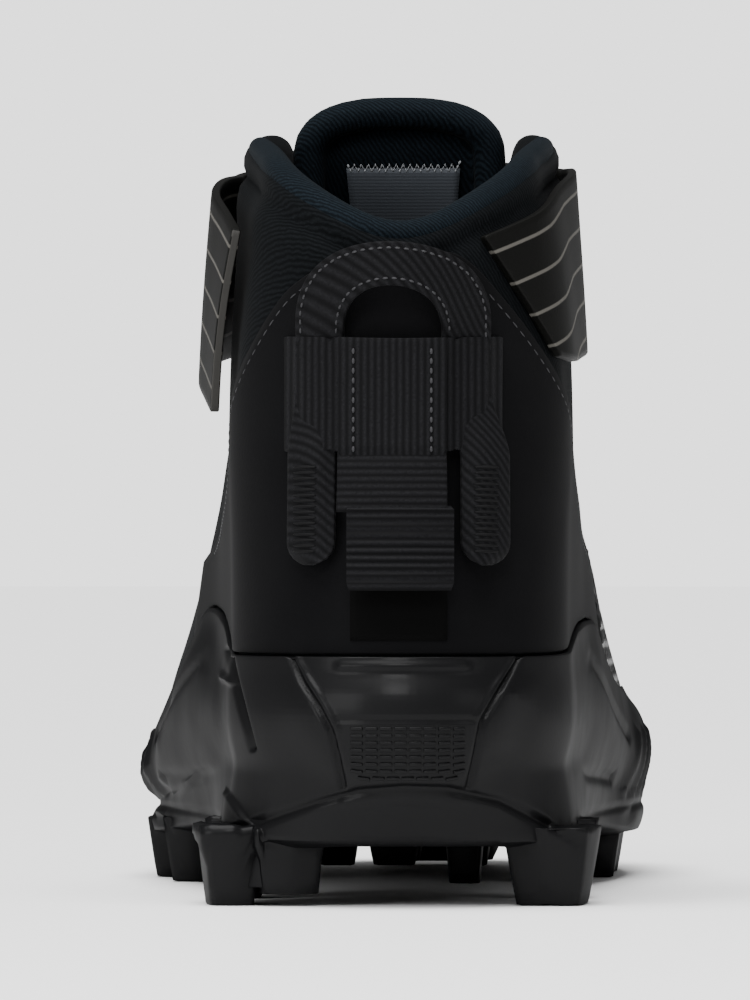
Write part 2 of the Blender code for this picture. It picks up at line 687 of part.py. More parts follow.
def build_tongue(padding):
    rows = []
    stretch = stations_between(along(THROAT_START * UPPER_LENGTH), THROAT["throat end"])
    for s in reversed(stretch):
        points, normal = tongue_row(s)
        rows.append((through(points, 2), normal))
    last_points, last_normal = rows[-1]
    before = rows[-2][0]
    climb = (last_points[6] - before[6]).normalized()
    climb = (climb + TONGUE_CLIMB).normalized()
    rise = TONGUE_TOP - last_points[6].z
    half = (last_points[-1].x - last_points[0].x) / 2
    centre_x = (last_points[-1].x + last_points[0].x) / 2
    for share in (0.35, 0.65, 0.88, 1.0):
        row = []
        for point in last_points:
            across = (point.x - centre_x) / half
            lift = rise * share * (1 - HOOD_DROP * abs(across) ** HOOD_POWER)
            spot = point + climb * (lift / climb.z)
            spot.x = centre_x + across * mix(half, TONGUE_HALF, eased(share))
            row.append(spot)
        rows.append((row, last_normal))
    outer, inner = [], []
    for row, normal in rows:
        out, back = [], []
        for i, point in enumerate(row):
            across = row[min(i + 1, len(row) - 1)] - row[max(i - 1, 0)]
            tangent_up = normal.cross(Vector((1, 0, 0))).normalized()
            face = across.cross(tangent_up).normalized()
            if face.dot(normal) < 0:
                face = -face
            edge = 1 - TONGUE_EDGE * (abs(i - 6) / 6) ** 4
            out.append(point)
            back.append(point - face * TONGUE_THICKNESS * edge)
        outer.append(out)
        inner.append(back)
    return slab("tongue", outer, inner, padding)


# The heel quarter's upper edge: turn of the heel's sections or a share of the upper's
# length, and the edge's height on each side as a share of the collar's.
QuarterEdge = namedtuple("QuarterEdge", "s lateral medial")
QUARTER_EDGE = [
    QuarterEdge(0.0, 0.840, 0.840),
    QuarterEdge(turned(-66), 0.845, 0.852),
    QuarterEdge(turned(-39), 0.795, 0.765),
    QuarterEdge(turned(-15), 0.690, 0.680),
    QuarterEdge(along(0.165 * UPPER_LENGTH), 0.588, 0.605),
    QuarterEdge(along(0.220 * UPPER_LENGTH), 0.530, 0.545),
    QuarterEdge(along(0.330 * UPPER_LENGTH), 0.475, 0.480),
    QuarterEdge(along(0.420 * UPPER_LENGTH), 0.440, 0.440),
]


def quarter_top(side, s):
    """Height of the heel quarter's upper edge."""
    for one, two in zip(QUARTER_EDGE, QUARTER_EDGE[1:]):
        if s <= two.s:
            share = (s - one.s) / (two.s - one.s)
            low, high = ((one.lateral, two.lateral) if side == LATERAL
                         else (one.medial, two.medial))
            return mix(low, high, share) * COLLAR_HEIGHT
    return QUARTER_EDGE[-1].lateral * COLLAR_HEIGHT


def build_quarter(leather):
    """The heel quarter, laid on the upper from the cup's edge to its own peaked edge."""
    outer, inner = [], []
    for side, s in heel_columns(QUARTER_EDGE[-1].s, QUARTER_EDGE[-1].s):
        low = level_at(side, s, cup_edge(side, s) + EDGE_GAP)
        high = level_at(side, s, quarter_top(side, s))
        levels = steps(low, high, 5)
        outer.append([skin(side, s, level, FIT + PANEL_THICKNESS) for level in levels])
        inner.append([skin(side, s, level, FIT) for level in levels])
    return slab("heel_quarter", outer, inner, leather)


SKIN_START, SKIN_END = 0.428, 0.700
SKIN_TOP = 0.62


def build_side_skin(gloss):
    """The moulded net skin on the medial side, from the cup up towards the throat."""
    outer, inner = [], []
    for s in stations_between(along(SKIN_START * UPPER_LENGTH), along(SKIN_END * UPPER_LENGTH)):
        low = level_at(MEDIAL, s, cup_edge(MEDIAL, s) + EDGE_GAP)
        levels = steps(low, SKIN_TOP, 5)
        outer.append([skin(MEDIAL, s, level, FIT + SKIN_THICKNESS) for level in levels])
        inner.append([skin(MEDIAL, s, level, FIT) for level in levels])
    return slab("side_skin", outer, inner, gloss)


def build_toe_cap(gloss):
    """The skin over the toe, from the cup's edge up."""
    start = along(0.735 * UPPER_LENGTH)
    stretch = stations_between(start, PATH_END)
    columns = [(LATERAL, s) for s in stretch] + [(MEDIAL, s) for s in reversed(stretch[:-1])]
    outer, inner = [], []
    for side, s in columns:
        low = level_at(side, s, cup_edge(side, s) + EDGE_GAP)
        high = mix(0.56, 0.80, eased((s - start) / (PATH_END - start)))
        levels = steps(low, high, 6)
        outer.append([skin(side, s, level, OVERLAY_FIT + SKIN_THICKNESS) for level in levels])
        inner.append([skin(side, s, level, OVERLAY_FIT) for level in levels])
    return slab("toe_cap", outer, inner, gloss)


EYESTAY_START, EYESTAY_END = 0.385, 0.655
EYESTAY_LOW, EYESTAY_HIGH = 0.85, 0.985


def build_eyestay(side, leather):
    """The strip along one edge of the throat that carries the eyelets."""
    outer, inner = [], []
    for s in stations_between(along(EYESTAY_START * UPPER_LENGTH), along(EYESTAY_END * UPPER_LENGTH)):
        levels = levels_between(EYESTAY_LOW, EYESTAY_HIGH)
        outer.append([skin(side, s, level, OVERLAY_FIT + PANEL_THICKNESS) for level in levels])
        inner.append([skin(side, s, level, OVERLAY_FIT) for level in levels])
    name = "eyestay_lateral" if side == LATERAL else "eyestay_medial"
    return slab(name, outer, inner, leather)


def rear_patch(name, rows, lift, thickness, webbing, columns=8):
    """A strip on the heel: each row is a height with its left and right x."""
    outer, inner = [], []
    for i in range(columns + 1):
        spots = [(mix(left, right, i / columns), z) for z, left, right in rows]
        outer.append([behind(x, z, lift + thickness) for x, z in spots])
        inner.append([behind(x, z, lift) for x, z in spots])
    return slab(name, outer, inner, webbing)


LOOP_LIFT = FIT + PANEL_THICKNESS + FIT
BAND_LIFT = LOOP_LIFT + WEBBING + FIT
TAB_LIFT = BAND_LIFT + WEBBING + FIT


def build_heel_band(elastic):
    half = BAND_WIDTH / 2
    rows = [(z, -half + TAB_CENTRE, half + TAB_CENTRE)
            for z in steps(BAND_BOTTOM, BAND_TOP, 3)]
    return rear_patch("heel_band", rows, BAND_LIFT, WEBBING, elastic, 10)


def build_heel_tab(webbing):
    half = TAB_WIDTH / 2
    rows = [(z, -half + TAB_CENTRE, half + TAB_CENTRE) for z in steps(TAB_BOTTOM, BAND_TOP, 6)]
    return rear_patch("heel_tab", rows, TAB_LIFT, WEBBING, webbing, 6)


# The loop leaves the heel's curve at this height and goes on straight up.
LOOP_SEAT = 0.136


def build_pull_loop(webbing):
    """An arch of webbing whose legs run down under the elastic band."""
    outer, inner = [], []
    arch_base = BAND_TOP
    half = LOOP_WIDTH / 2
    path = []
    for z in steps(LOOP_FOOT, arch_base, 5)[:-1]:
        path.append((-1, z))
    for degrees in steps(180, 0, 12):
        path.append((0, math.radians(degrees)))
    for z in reversed(steps(LOOP_FOOT, arch_base, 5)[:-1]):
        path.append((1, z))
    rise = LOOP_TOP - arch_base
    for kind, value in path:
        column_out, column_in = [], []
        for share in (0.0, 0.5, 1.0):
            width = half - LOOP_BAND * share
            if kind:
                x, z, lean = kind * width + TAB_CENTRE, value, 0.0
            else:
                x = width * math.cos(value) + TAB_CENTRE
                z = arch_base + (rise - LOOP_BAND * share) * math.sin(value)
                lean = LOOP_LEAN * math.sin(value)
            reach = min(z, LOOP_SEAT)
            spot = behind(x, reach, LOOP_LIFT)
            normal = (behind(x, reach, LOOP_LIFT + 0.001) - spot).normalized()
            spot = Vector((spot.x, spot.y, z)) + normal * lean
            column_out.append(spot + normal * WEBBING)
            column_in.append(spot)
        outer.append(column_out)
        inner.append(column_in)
    return slab("pull_loop", outer, inner, webbing)


# The ankle strap, from its seam on the medial side round the front to its free end: where
# each row lies, the heights of its two edges as shares of the collar's, and its stand-off.
StrapRow = namedtuple("StrapRow", "side s_low s_high low high lift")
STRAP_MEDIAL = [
    StrapRow(MEDIAL, turned(-18), turned(-56), 0.712, 0.866, 0.0006),
    StrapRow(MEDIAL, turned(-8), turned(-36), 0.708, 0.885, 0.0008),
    StrapRow(MEDIAL, along(0.150 * LENGTH), turned(-15), 0.706, 0.905, 0.0010),
    StrapRow(MEDIAL, along(0.205 * LENGTH), along(0.165 * LENGTH), 0.712, 0.935, 0.0012),
    StrapRow(MEDIAL, along(0.255 * LENGTH), along(0.235 * LENGTH), 0.718, 0.955, 0.0016),
    StrapRow(MEDIAL, along(0.310 * LENGTH), along(0.290 * LENGTH), 0.724, 0.965, 0.0022),
]
STRAP_LATERAL = [
    StrapRow(LATERAL, along(0.310 * LENGTH), along(0.290 * LENGTH), 0.700, 0.950, 0.0042),
    StrapRow(LATERAL, along(0.255 * LENGTH), along(0.235 * LENGTH), 0.680, 0.930, 0.0050),
    StrapRow(LATERAL, along(0.205 * LENGTH), along(0.180 * LENGTH), 0.660, 0.905, 0.0045),
    StrapRow(LATERAL, along(0.150 * LENGTH), turned(-10), 0.640, 0.875, 0.0035),
]
# The strap's way over the throat: side, share of the way from the sides to the throat's
# edge, share of the way across and lift off the skin.
StrapFront = namedtuple("StrapFront", "side part across lift")
STRAP_FRONT = [
    StrapFront(MEDIAL, 0.45, 0.15, 0.0044),
    StrapFront(MEDIAL, 0.90, 0.33, 0.0068),
    StrapFront(LATERAL, 0.90, 0.67, 0.0072),
    StrapFront(LATERAL, 0.45, 0.85, 0.0046),
]
STRAP_OVER_LACES = 4 * FIT + 2 * LACE_RADIUS


def throat_at(z):
    """Distance round the skin at which the throat's edges are this high."""
    low, high = along(THROAT_START * UPPER_LENGTH), THROAT["throat"]
    for _ in range(24):
        half = (low + high) / 2
        if throat_frame(half)[1].z > z:
            low = half
        else:
            high = half
    return low


def strap_path(share):
    """The strap's way round the ankle at one share of its width."""
    def side_point(row):
        z = mix(row.low, row.high, share) * COLLAR_HEIGHT
        return skin_at(row.side, mix(row.s_low, row.s_high, share), z, row.lift)

    medial = [side_point(row) for row in STRAP_MEDIAL]
    lateral = [side_point(row) for row in STRAP_LATERAL]
    begin = mix(STRAP_MEDIAL[-1].s_low, STRAP_MEDIAL[-1].s_high, share)
    front = []
    for spot in STRAP_FRONT:
        z = mix(medial[-1].z, lateral[0].z, spot.across)
        front.append(skin_at(spot.side, mix(begin, throat_at(z), spot.part), z, spot.lift))
    z = (medial[-1].z + lateral[0].z) / 2
    middle, normal = throat_frame(throat_at(z))[1:]
    front.insert(2, middle + normal * (LACE_RISE + LACE_RADIUS + STRAP_OVER_LACES))
    return through([*medial, *front, *lateral], 2)


def build_strap(synthetic):
    inner = list(zip(*(strap_path(share) for share in steps(0, 1, 3))))
    outer = []
    for i, column in enumerate(inner):
        lifted = []
        for j, spot in enumerate(column):
            ahead, back = inner[min(i + 1, len(inner) - 1)][j], inner[max(i - 1, 0)][j]
            above, below = column[min(j + 1, 3)], column[max(j - 1, 0)]
            lifted.append(spot + (ahead - back).cross(above - below).normalized() * STRAP_THICKNESS)
        outer.append(lifted)
    return slab("ankle_strap", outer, inner, synthetic)


LACE_RISE = TONGUE_RISE + 2 * FIT + 2 * LACE_RADIUS
LACE_START, LACE_END = 0.405, 0.638
EYELET_LEVEL = 0.915


def lace_path(first_side):
    """A zigzag over the tongue, from one top eyelet down to the lowest row."""
    lift = OVERLAY_FIT + PANEL_THICKNESS + 2 * FIT + LACE_RADIUS
    rows = [along(share * UPPER_LENGTH) for share in steps(LACE_START, LACE_END, LACE_ROWS - 1)]
    if first_side == LATERAL:
        rows.append(rows[-1])
    points, side = [], first_side
    for one, two in zip(rows, rows[1:]):
        middle, normal = throat_frame((one + two) / 2)[1:]
        points += [
            skin(side, one, EYELET_LEVEL, lift),
            skin(side, mix(one, two, 0.25), 1, lift),
            middle + normal * LACE_RISE,
            skin(-side, mix(one, two, 0.75), 1, lift),
        ]
        side = -side
    points.append(skin(side, rows[-1], EYELET_LEVEL, lift))
    return points


def tube(name, points, radius):
    """A closed mesh tube along the points."""
    curve = bpy.data.curves.new(name, "CURVE")
    curve.dimensions = "3D"
    curve.bevel_depth = radius
    curve.bevel_resolution = 2
    curve.use_fill_caps = True
    line = curve.splines.new("POLY")
    line.points.add(len(points) - 1)
    for knot, point in zip(line.points, points):
        knot.co = (*point, 1)
    guide = bpy.data.objects.new(name, curve)
    CUTTERS.objects.link(guide)
    mesh = bpy.data.meshes.new_from_object(guide.evaluated_get(bpy.context.evaluated_depsgraph_get()))
    bpy.data.objects.remove(guide)
    bm = bmesh.new()
    bm.from_mesh(mesh)
    bmesh.ops.remove_doubles(bm, verts=bm.verts, dist=1e-5)
    bmesh.ops.recalc_face_normals(bm, faces=bm.faces)
    bm.to_mesh(mesh)
    bm.free()
    mesh.name = name
    return mesh


def build_laces(cotton):
    """Two zigzags, joined where they cross and at the lowest row."""
    laces = new_object("laces", tube("laces", lace_path(LATERAL), LACE_RADIUS), cotton)
    unite(laces, cutter("lace_return", tube("lace_return", lace_path(MEDIAL), LACE_RADIUS)))
    return laces


def set_down():
    """Puts the origin under the middle of the shoe's box, on the floor."""
    graph = bpy.context.evaluated_depsgraph_get()
    corners = [shape.matrix_world @ Vector(corner) for shape in PARTS.objects
               for corner in shape.evaluated_get(graph).bound_box]
    low = [min(corner[i] for corner in corners) for i in range(3)]
    high = [max(corner[i] for corner in corners) for i in range(3)]
    shift = Vector((-(low[0] + high[0]) / 2, -(low[1] + high[1]) / 2, -low[2]))
    for shape in [*PARTS.objects, *CUTTERS.objects]:
        shape.location += shift


def start():
    for shape in list(bpy.data.objects):
        bpy.data.objects.remove(shape)
    for name in ("american_football_cleat", "cutters"):
        group = bpy.data.collections.new(name)
        bpy.context.scene.collection.children.link(group)
        yield group


PARTS, CUTTERS = start()

RUBBER = material("moulded_rubber", (0.012, 0.012, 0.013), 0.42)
KNIT = material("knit_upper", (0.010, 0.011, 0.013), 0.85)
LEATHER = material("synthetic_suede", (0.011, 0.011, 0.012), 0.75)
GLOSS = material("net_skin", (0.010, 0.010, 0.011), 0.25)
WEB = material("webbing", (0.013, 0.013, 0.014), 0.80)
FOAM = material("insole_foam", (0.030, 0.030, 0.032), 0.90)
STRAP = material("strap_synthetic", (0.016, 0.015, 0.015), 0.50)

build_outsole(RUBBER)
build_upper(KNIT)
build_tongue(KNIT)
build_insole(FOAM)
build_quarter(LEATHER)
build_side_skin(GLOSS)
build_toe_cap(GLOSS)
build_eyestay(LATERAL, LEATHER)
build_eyestay(MEDIAL, LEATHER)
build_heel_band(WEB)
build_heel_tab(WEB)
build_pull_loop(WEB)
build_laces(WEB)
build_strap(STRAP)
set_down()
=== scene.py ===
# %% [markdown]
# # A left american football cleat
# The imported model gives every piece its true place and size. This lesson dresses it: each
# piece is copied from the model, smoothed, given its seams, ribs and holes, and painted with
# a material made from nodes. No piece leaves its place, so each step adds what a hand would feel.

# %% Load the model
import math

import bmesh
import bpy
import numpy as np
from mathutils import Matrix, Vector
from mathutils.bvhtree import BVHTree


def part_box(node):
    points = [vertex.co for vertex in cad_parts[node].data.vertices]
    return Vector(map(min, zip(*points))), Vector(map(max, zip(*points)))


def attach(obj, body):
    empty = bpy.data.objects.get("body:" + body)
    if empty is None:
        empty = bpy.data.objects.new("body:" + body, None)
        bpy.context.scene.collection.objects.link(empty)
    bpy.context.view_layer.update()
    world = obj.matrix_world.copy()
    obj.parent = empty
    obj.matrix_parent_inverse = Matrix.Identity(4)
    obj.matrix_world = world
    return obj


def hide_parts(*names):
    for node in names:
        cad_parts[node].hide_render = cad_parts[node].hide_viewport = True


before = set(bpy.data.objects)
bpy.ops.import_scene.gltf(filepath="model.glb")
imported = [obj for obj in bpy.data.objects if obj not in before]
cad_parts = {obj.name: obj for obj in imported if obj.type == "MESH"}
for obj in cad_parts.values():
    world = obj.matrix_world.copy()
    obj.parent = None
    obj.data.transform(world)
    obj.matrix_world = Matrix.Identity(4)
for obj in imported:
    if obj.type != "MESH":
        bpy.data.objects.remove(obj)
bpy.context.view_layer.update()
MM = 0.001


def linked(name, data):
    """A new object in the scene, with this mesh, curve, light or camera."""
    made = bpy.data.objects.new(name, data)
    bpy.context.scene.collection.objects.link(made)
    return made


# %% [markdown]
# ## The camera
# The camera stands 2.4 m behind the heel, 60 mm towards its medial side and 96 mm above the
# floor, and looks almost level. A long lens keeps the shoe's sides nearly parallel. The same
# eye serves a second time below: details that are known from behind are placed along its lines
# of sight, and a line of sight is written as a pixel of a 750 by 1000 picture.

# %% Camera
EYE = Vector((0.0597, -2.5495, 0.096))
AIM = Vector((0.0, -0.150, 0.0875))
LENS = 405

camera_data = bpy.data.cameras.new("camera")
camera_data.lens = LENS
camera = linked("camera", camera_data)
camera.location = EYE
camera.rotation_euler = (AIM - EYE).to_track_quat("-Z", "Y").to_euler()
bpy.context.scene.camera = camera
print("Camera:", LENS, "mm lens,", round((AIM - EYE).length, 2), "m from the heel")

# %% [markdown]
# ## The light
# Black things are shaped by what they reflect. A soft box on the left draws the pale sheen
# along the sole's edge, a weaker one fills the right, and a small one behind the camera puts a
# glint on the top of the heel. A wide canopy overhead lights the rims and the floor alike. The
# backdrop is a bright card that is lit on its own, so it shows pale but throws little light on
# the shoe: the world has one strength for what is seen directly and a weaker one for all other
# rays.


# %% Light
def linear(colour):
    """An sRGB hex colour as linear red, green, blue and alpha."""
    parts = [int(colour[i:i + 2], 16) / 255 for i in (1, 3, 5)]
    return (*(v / 12.92 if v < 0.04045 else ((v + 0.055) / 1.055) ** 2.4 for v in parts), 1)


def soft_box(name, place, target, size, power):
    """A square area light that faces its target."""
    light = bpy.data.lights.new(name, "AREA")
    light.size = size
    light.energy = power
    lamp = linked(name, light)
    lamp.location = place
    lamp.rotation_euler = (Vector(target) - Vector(place)).to_track_quat("-Z", "Y").to_euler()


soft_box("left_box", (-1.3, -1.6, 0.7), (0, -0.1, 0.06), 0.9, 20)
soft_box("right_box", (1.6, -1.2, 0.8), (0, -0.1, 0.06), 0.7, 4)
soft_box("heel_box", (-0.05, -1.4, 1.05), (0, -0.15, 0.05), 0.45, 11)

overhead = bpy.data.lights.new("overhead", "SUN")
overhead.energy = 7.0
overhead.angle = math.radians(50)
linked("overhead", overhead).rotation_euler = (math.radians(12), math.radians(-6), 0)

BACKDROP, FILL = 2.15, 0.28

world = bpy.data.worlds.new("studio")
world.use_nodes = True
sky = world.node_tree
card, fill = sky.nodes["Background"], sky.nodes.new("ShaderNodeBackground")
for shade, strength in ((card, BACKDROP), (fill, FILL)):
    shade.inputs["Color"].default_value = linear("#FFFFFF")
    shade.inputs["Strength"].default_value = strength
chooser, ray = sky.nodes.new("ShaderNodeMixShader"), sky.nodes.new("ShaderNodeLightPath")
sky.links.new(ray.outputs["Is Camera Ray"], chooser.inputs["Fac"])
sky.links.new(fill.outputs["Background"], chooser.inputs[1])
sky.links.new(card.outputs["Background"], chooser.inputs[2])
sky.links.new(chooser.outputs["Shader"], sky.nodes["World Output"].inputs["Surface"])
bpy.context.scene.world = world
print("Lights:", [light.name for light in bpy.data.lights])

# %% [markdown]
# ## Copying a piece
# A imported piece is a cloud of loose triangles. Its copy is merged, and its triangles are
# joined back into the quads that they came from, because Subdivision Surface needs quads.
# Edges that were sharp in the model are creased first, so that they stay crisp when the
# rest is smoothed. The helpers below do this, and build, join and paint pieces.


# %% Helpers for pieces
def only(piece):
    """Selects one piece alone and makes it active."""
    bpy.ops.object.select_all(action="DESELECT")
    piece.select_set(True)
    bpy.context.view_layer.objects.active = piece


def belongs(piece, slot, *nodes):
    """Fixes a piece to the shoe's body and hides the imported pieces that it replaces. The slot is not
    used.
    """
    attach(piece, "root")
    if nodes:
        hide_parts(*nodes)


def painted(piece, material):
    piece.data.materials.clear()
    piece.data.materials.append(material)
    piece.data.shade_smooth()
    print(piece.name, len(piece.data.polygons), "faces")
    return piece


def copied(node, name):
    """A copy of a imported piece, merged and made of quads."""
    piece = linked(name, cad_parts[node].data.copy())
    piece.data.materials.clear()
    only(piece)
    bpy.ops.object.mode_set(mode="EDIT")
    bpy.ops.mesh.select_all(action="SELECT")
    bpy.ops.mesh.remove_doubles(threshold=0.00001)
    bpy.ops.mesh.tris_convert_to_quads(face_threshold=0.9, shape_threshold=0.9)
    bpy.ops.object.mode_set(mode="OBJECT")
    return piece


def built(bm, name):
    """A piece from a bmesh."""
    mesh = bpy.data.meshes.new(name)
    bm.to_mesh(mesh)
    bm.free()
    return linked(name, mesh)


def joined(pieces, name):
    """Joins pieces into the first of them."""
    bpy.ops.object.select_all(action="DESELECT")
    for piece in pieces:
        piece.select_set(True)
    bpy.context.view_layer.objects.active = pieces[0]
    if len(pieces) > 1:
        bpy.ops.object.join()
    pieces[0].name = name
    return pieces[0]


def shaped(piece, kind, **settings):
    """Adds a modifier with its settings and applies it."""
    only(piece)
    modifier = piece.modifiers.new(kind.lower(), kind)
    for setting, value in settings.items():
        setattr(modifier, setting, value)
    bpy.ops.object.modifier_apply(modifier=modifier.name)


def sharp_edges(piece, angle):
    """The two ends of each edge whose faces meet at more than the angle."""
    bm = bmesh.new()
    bm.from_mesh(piece.data)
    ends = [[vert.co.copy() for vert in edge.verts] for edge in bm.edges
            if len(edge.link_faces) == 2 and edge.calc_face_angle(0) > math.radians(angle)]
    bm.free()
    return ends


def smoothed(piece, levels, angle=40, crease=0.75):
    """Creases the sharp edges and subdivides the piece."""
    bm = bmesh.new()
    bm.from_mesh(piece.data)
    layer = bm.edges.layers.float.new("crease_edge")
    for edge in bm.edges:
        if len(edge.link_faces) == 2 and edge.calc_face_angle(0) > math.radians(angle):
            edge[layer] = crease
    bm.to_mesh(piece.data)
    bm.free()
    shaped(piece, "SUBSURF", levels=levels, render_levels=levels)
    return piece


def finer(piece, cuts, wanted):
    """Subdivides the faces whose middle and normal are wanted."""
    only(piece)
    bpy.ops.object.mode_set(mode="EDIT")
    bpy.ops.mesh.select_mode(type="FACE")
    bpy.ops.mesh.select_all(action="DESELECT")
    bpy.ops.object.mode_set(mode="OBJECT")
    for polygon in piece.data.polygons:
        polygon.select = bool(wanted(polygon.center, polygon.normal))
    bpy.ops.object.mode_set(mode="EDIT")
    bpy.ops.mesh.subdivide(number_cuts=cuts, smoothness=0)
    bpy.ops.object.mode_set(mode="OBJECT")


# %% [markdown]
# ## Placing detail
# Three tools place detail. Relief moves the vertices of a fine mesh along their normals by a
# height that a formula gives. A sight line finds the point of a surface that the eye sees at
# a pixel. A level line follows a surface at a fixed distance from a panel's edge, which is
# where a maker's needle would run.


# %% Relief
def arrays(piece):
    """The places and the normals of a piece's vertices."""
    places = np.empty(len(piece.data.vertices) * 3)
    normals = np.empty(len(piece.data.vertices) * 3)
    piece.data.vertices.foreach_get("co", places)
    piece.data.vertex_normals.foreach_get("vector", normals)
    return places.reshape(-1, 3), normals.reshape(-1, 3)


def moved(piece, places):
    """Gives a piece's vertices new places."""
    piece.data.vertices.foreach_set("co", places.ravel())
    piece.data.update()


def relief(piece, height):
    """Moves each vertex along its normal by height(places, normals), in metres."""
    places, normals = arrays(piece)
    moved(piece, places + normals * height(places, normals)[:, None])


def step(values, low, high):
    """0 below low, 1 above high and a soft rise between them."""
    share = np.clip((values - low) / (high - low), 0, 1)
    return share * share * (3 - 2 * share)


def away_from(points, line):
    """Distance of each point from a line of straight stretches."""
    best = np.full(len(points), np.inf)
    for start, end in zip(line, line[1:]):
        start, along = np.array(start, float), np.array(end, float) - np.array(start, float)
        share = np.clip((points - start) @ along / (along @ along), 0, 1)
        best = np.minimum(best, np.linalg.norm(points - start - share[:, None] * along, axis=1))
    return best


# %% Lines of sight
FOCUS = 4918
PICTURE_MIDDLE = (375, 500)


def in_picture(places):
    """The pixels at which places are seen from the eye."""
    away = places - np.array(EYE)
    return np.stack([PICTURE_MIDDLE[0] + FOCUS * away[:, 0] / away[:, 1],
                     PICTURE_MIDDLE[1] - FOCUS * away[:, 2] / away[:, 1]], axis=1)


def surface(*pieces):
    """A search tree over the pieces' faces."""
    places, faces = [], []
    for piece in pieces:
        first = len(places)
        places += [vert.co.copy() for vert in piece.data.vertices]
        faces += [[first + i for i in polygon.vertices] for polygon in piece.data.polygons]
    return BVHTree.FromPolygons(places, faces)


def seen(tree, pixel, lift=0.0):
    """The point that the eye sees at a pixel, lifted off its surface, and the normal there."""
    sight = Vector((pixel[0] - PICTURE_MIDDLE[0], FOCUS, PICTURE_MIDDLE[1] - pixel[1]))
    place, normal = tree.ray_cast(EYE, sight.normalized())[:2]
    if place is None:
        return None, None
    return place + normal * lift, normal


def between(line, spacing):
    """Points along a line of straight stretches, about this far apart."""
    made = []
    for start, end in zip(line, line[1:]):
        start, end = Vector(start), Vector(end)
        count = max(1, round((end - start).length / spacing))
        made += [start.lerp(end, i / count) for i in range(count)]
    return made + [Vector(line[-1])]


# %% Level lines
HEART = (0.003, (-0.088, 0.080), 0.070)


def faces_out(place, normal):
    """Whether a surface faces away from the shoe's middle line."""
    middle = Vector((HEART[0], min(max(place.y, HEART[1][0]), HEART[1][1]), HEART[2]))
    return (place - middle).dot(normal) > 0


def strung(points, jump):
    """Lines through scattered points, each point followed by its nearest neighbour."""
    left, lines = list(points), []
    while left:
        line = [left.pop()]
        for _ in range(2):
            while left:
                near = min(left, key=lambda other: (other - line[-1]).length_squared)
                if (near - line[-1]).length > jump:
                    break
                line.append(near)
                left.remove(near)
            line.reverse()
        if len(line) > 4:
            lines.append(line)
    return lines


def level_lines(piece, edges, inset, keep, jump=0.004):
    """Lines on the outer face of a panel, at this distance from its edges."""
    mesh = piece.data
    places = np.array([vert.co for vert in mesh.vertices])
    distance = np.full(len(places), np.inf)
    for start, end in edges:
        distance = np.minimum(distance, away_from(places, [start, end]))
    points = []
    for edge in mesh.edges:
        one, two = edge.vertices
        if (distance[one] - inset) * (distance[two] - inset) >= 0:
            continue
        share = (inset - distance[one]) / (distance[two] - distance[one])
        place = mesh.vertices[one].co.lerp(mesh.vertices[two].co, share)
        if faces_out(place, mesh.vertices[one].normal) and keep(place):
            points.append(place)
    lines = strung(points, jump)
    for line in lines:
        for _ in range(3):
            line[1:-1] = [(a + b + c) / 3 for a, b, c in zip(line, line[1:], line[2:])]
    return lines


# %% [markdown]
# ## Stitches
# A row of stitches is one small plump body, repeated by Array along a guide curve and bent to
# it by the Curve modifier. It is round, so it looks right however the curve turns.


# %% A row of stitches
def stitched(name, lines, material, slot, length=2.0 * MM, gap=0.9 * MM, thick=0.55 * MM):
    """Rows of stitches along the lines, as one piece."""
    rows = []
    for line in lines:
        guide_data = bpy.data.curves.new(name + "_guide", "CURVE")
        guide_data.dimensions = "3D"
        spline = guide_data.splines.new("POLY")
        spline.points.add(len(line) - 1)
        for knot, place in zip(spline.points, line):
            knot.co = (*place, 1)
        guide = linked(name + "_guide", guide_data)
        bpy.ops.object.select_all(action="DESELECT")
        bpy.ops.mesh.primitive_uv_sphere_add(segments=6, ring_count=5, radius=0.5,
                                             rotation=(0, math.pi / 2, 0), location=(0.5, 0, 0))
        row = bpy.context.object
        bpy.ops.object.transform_apply(location=True, rotation=True)
        row.scale = (length, thick, thick)
        bpy.ops.object.transform_apply(scale=True)
        shaped(row, "ARRAY", fit_type="FIT_CURVE", curve=guide, use_relative_offset=False,
               use_constant_offset=True, constant_offset_displace=(length + gap, 0, 0))
        shaped(row, "CURVE", object=guide, deform_axis="POS_X")
        bpy.data.objects.remove(guide)
        rows.append(row)
    piece = joined(rows, name)
    belongs(piece, slot)
    return painted(piece, material)


# %% [markdown]
# ## Materials
# Each material has one Principled shader. Its colour and its bump come from a few pattern
# nodes on Object coordinates, whose scale is a real size: a noise with grains of p metres has a
# scale of 1 / p. A wave texture of scale 1 has bands 0.31 m apart, so ribs p metres apart take a
# scale of 0.31 / p.


# %% Material helpers
RIB_SCALE = 0.31


def node(tree, kind, links=(), **settings):
    """Adds a node with its settings, and links each (input, another node's output)."""
    made = tree.nodes.new(kind)
    for name, value in settings.items():
        name = name.replace("_", " ") if name.replace("_", " ") in made.inputs else name
        if name in made.inputs:
            made.inputs[name].default_value = value
        else:
            setattr(made, name, value)
    for socket, source in links:
        tree.links.new(source, made.inputs[socket])
    return made


def finish_of(name, colour, roughness, **settings):
    """A material with one Principled shader, its node tree and the shader."""
    material = bpy.data.materials.new(name)
    material.use_nodes = True
    shader = material.node_tree.nodes["Principled BSDF"]
    shader.inputs["Base Color"].default_value = linear(colour)
    shader.inputs["Roughness"].default_value = roughness
    for socket, value in settings.items():
        shader.inputs[socket.replace("_", " ")].default_value = value
    return material, material.node_tree, shader


def place_of(tree):
    return node(tree, "ShaderNodeTexCoord").outputs["Object"]


def noise(tree, size, detail):
    """A noise whose grains have this size, from 0 to 1."""
    return node(tree, "ShaderNodeTexNoise", [("Vector", place_of(tree))], Scale=1 / size,
                Detail=detail).outputs["Fac"]


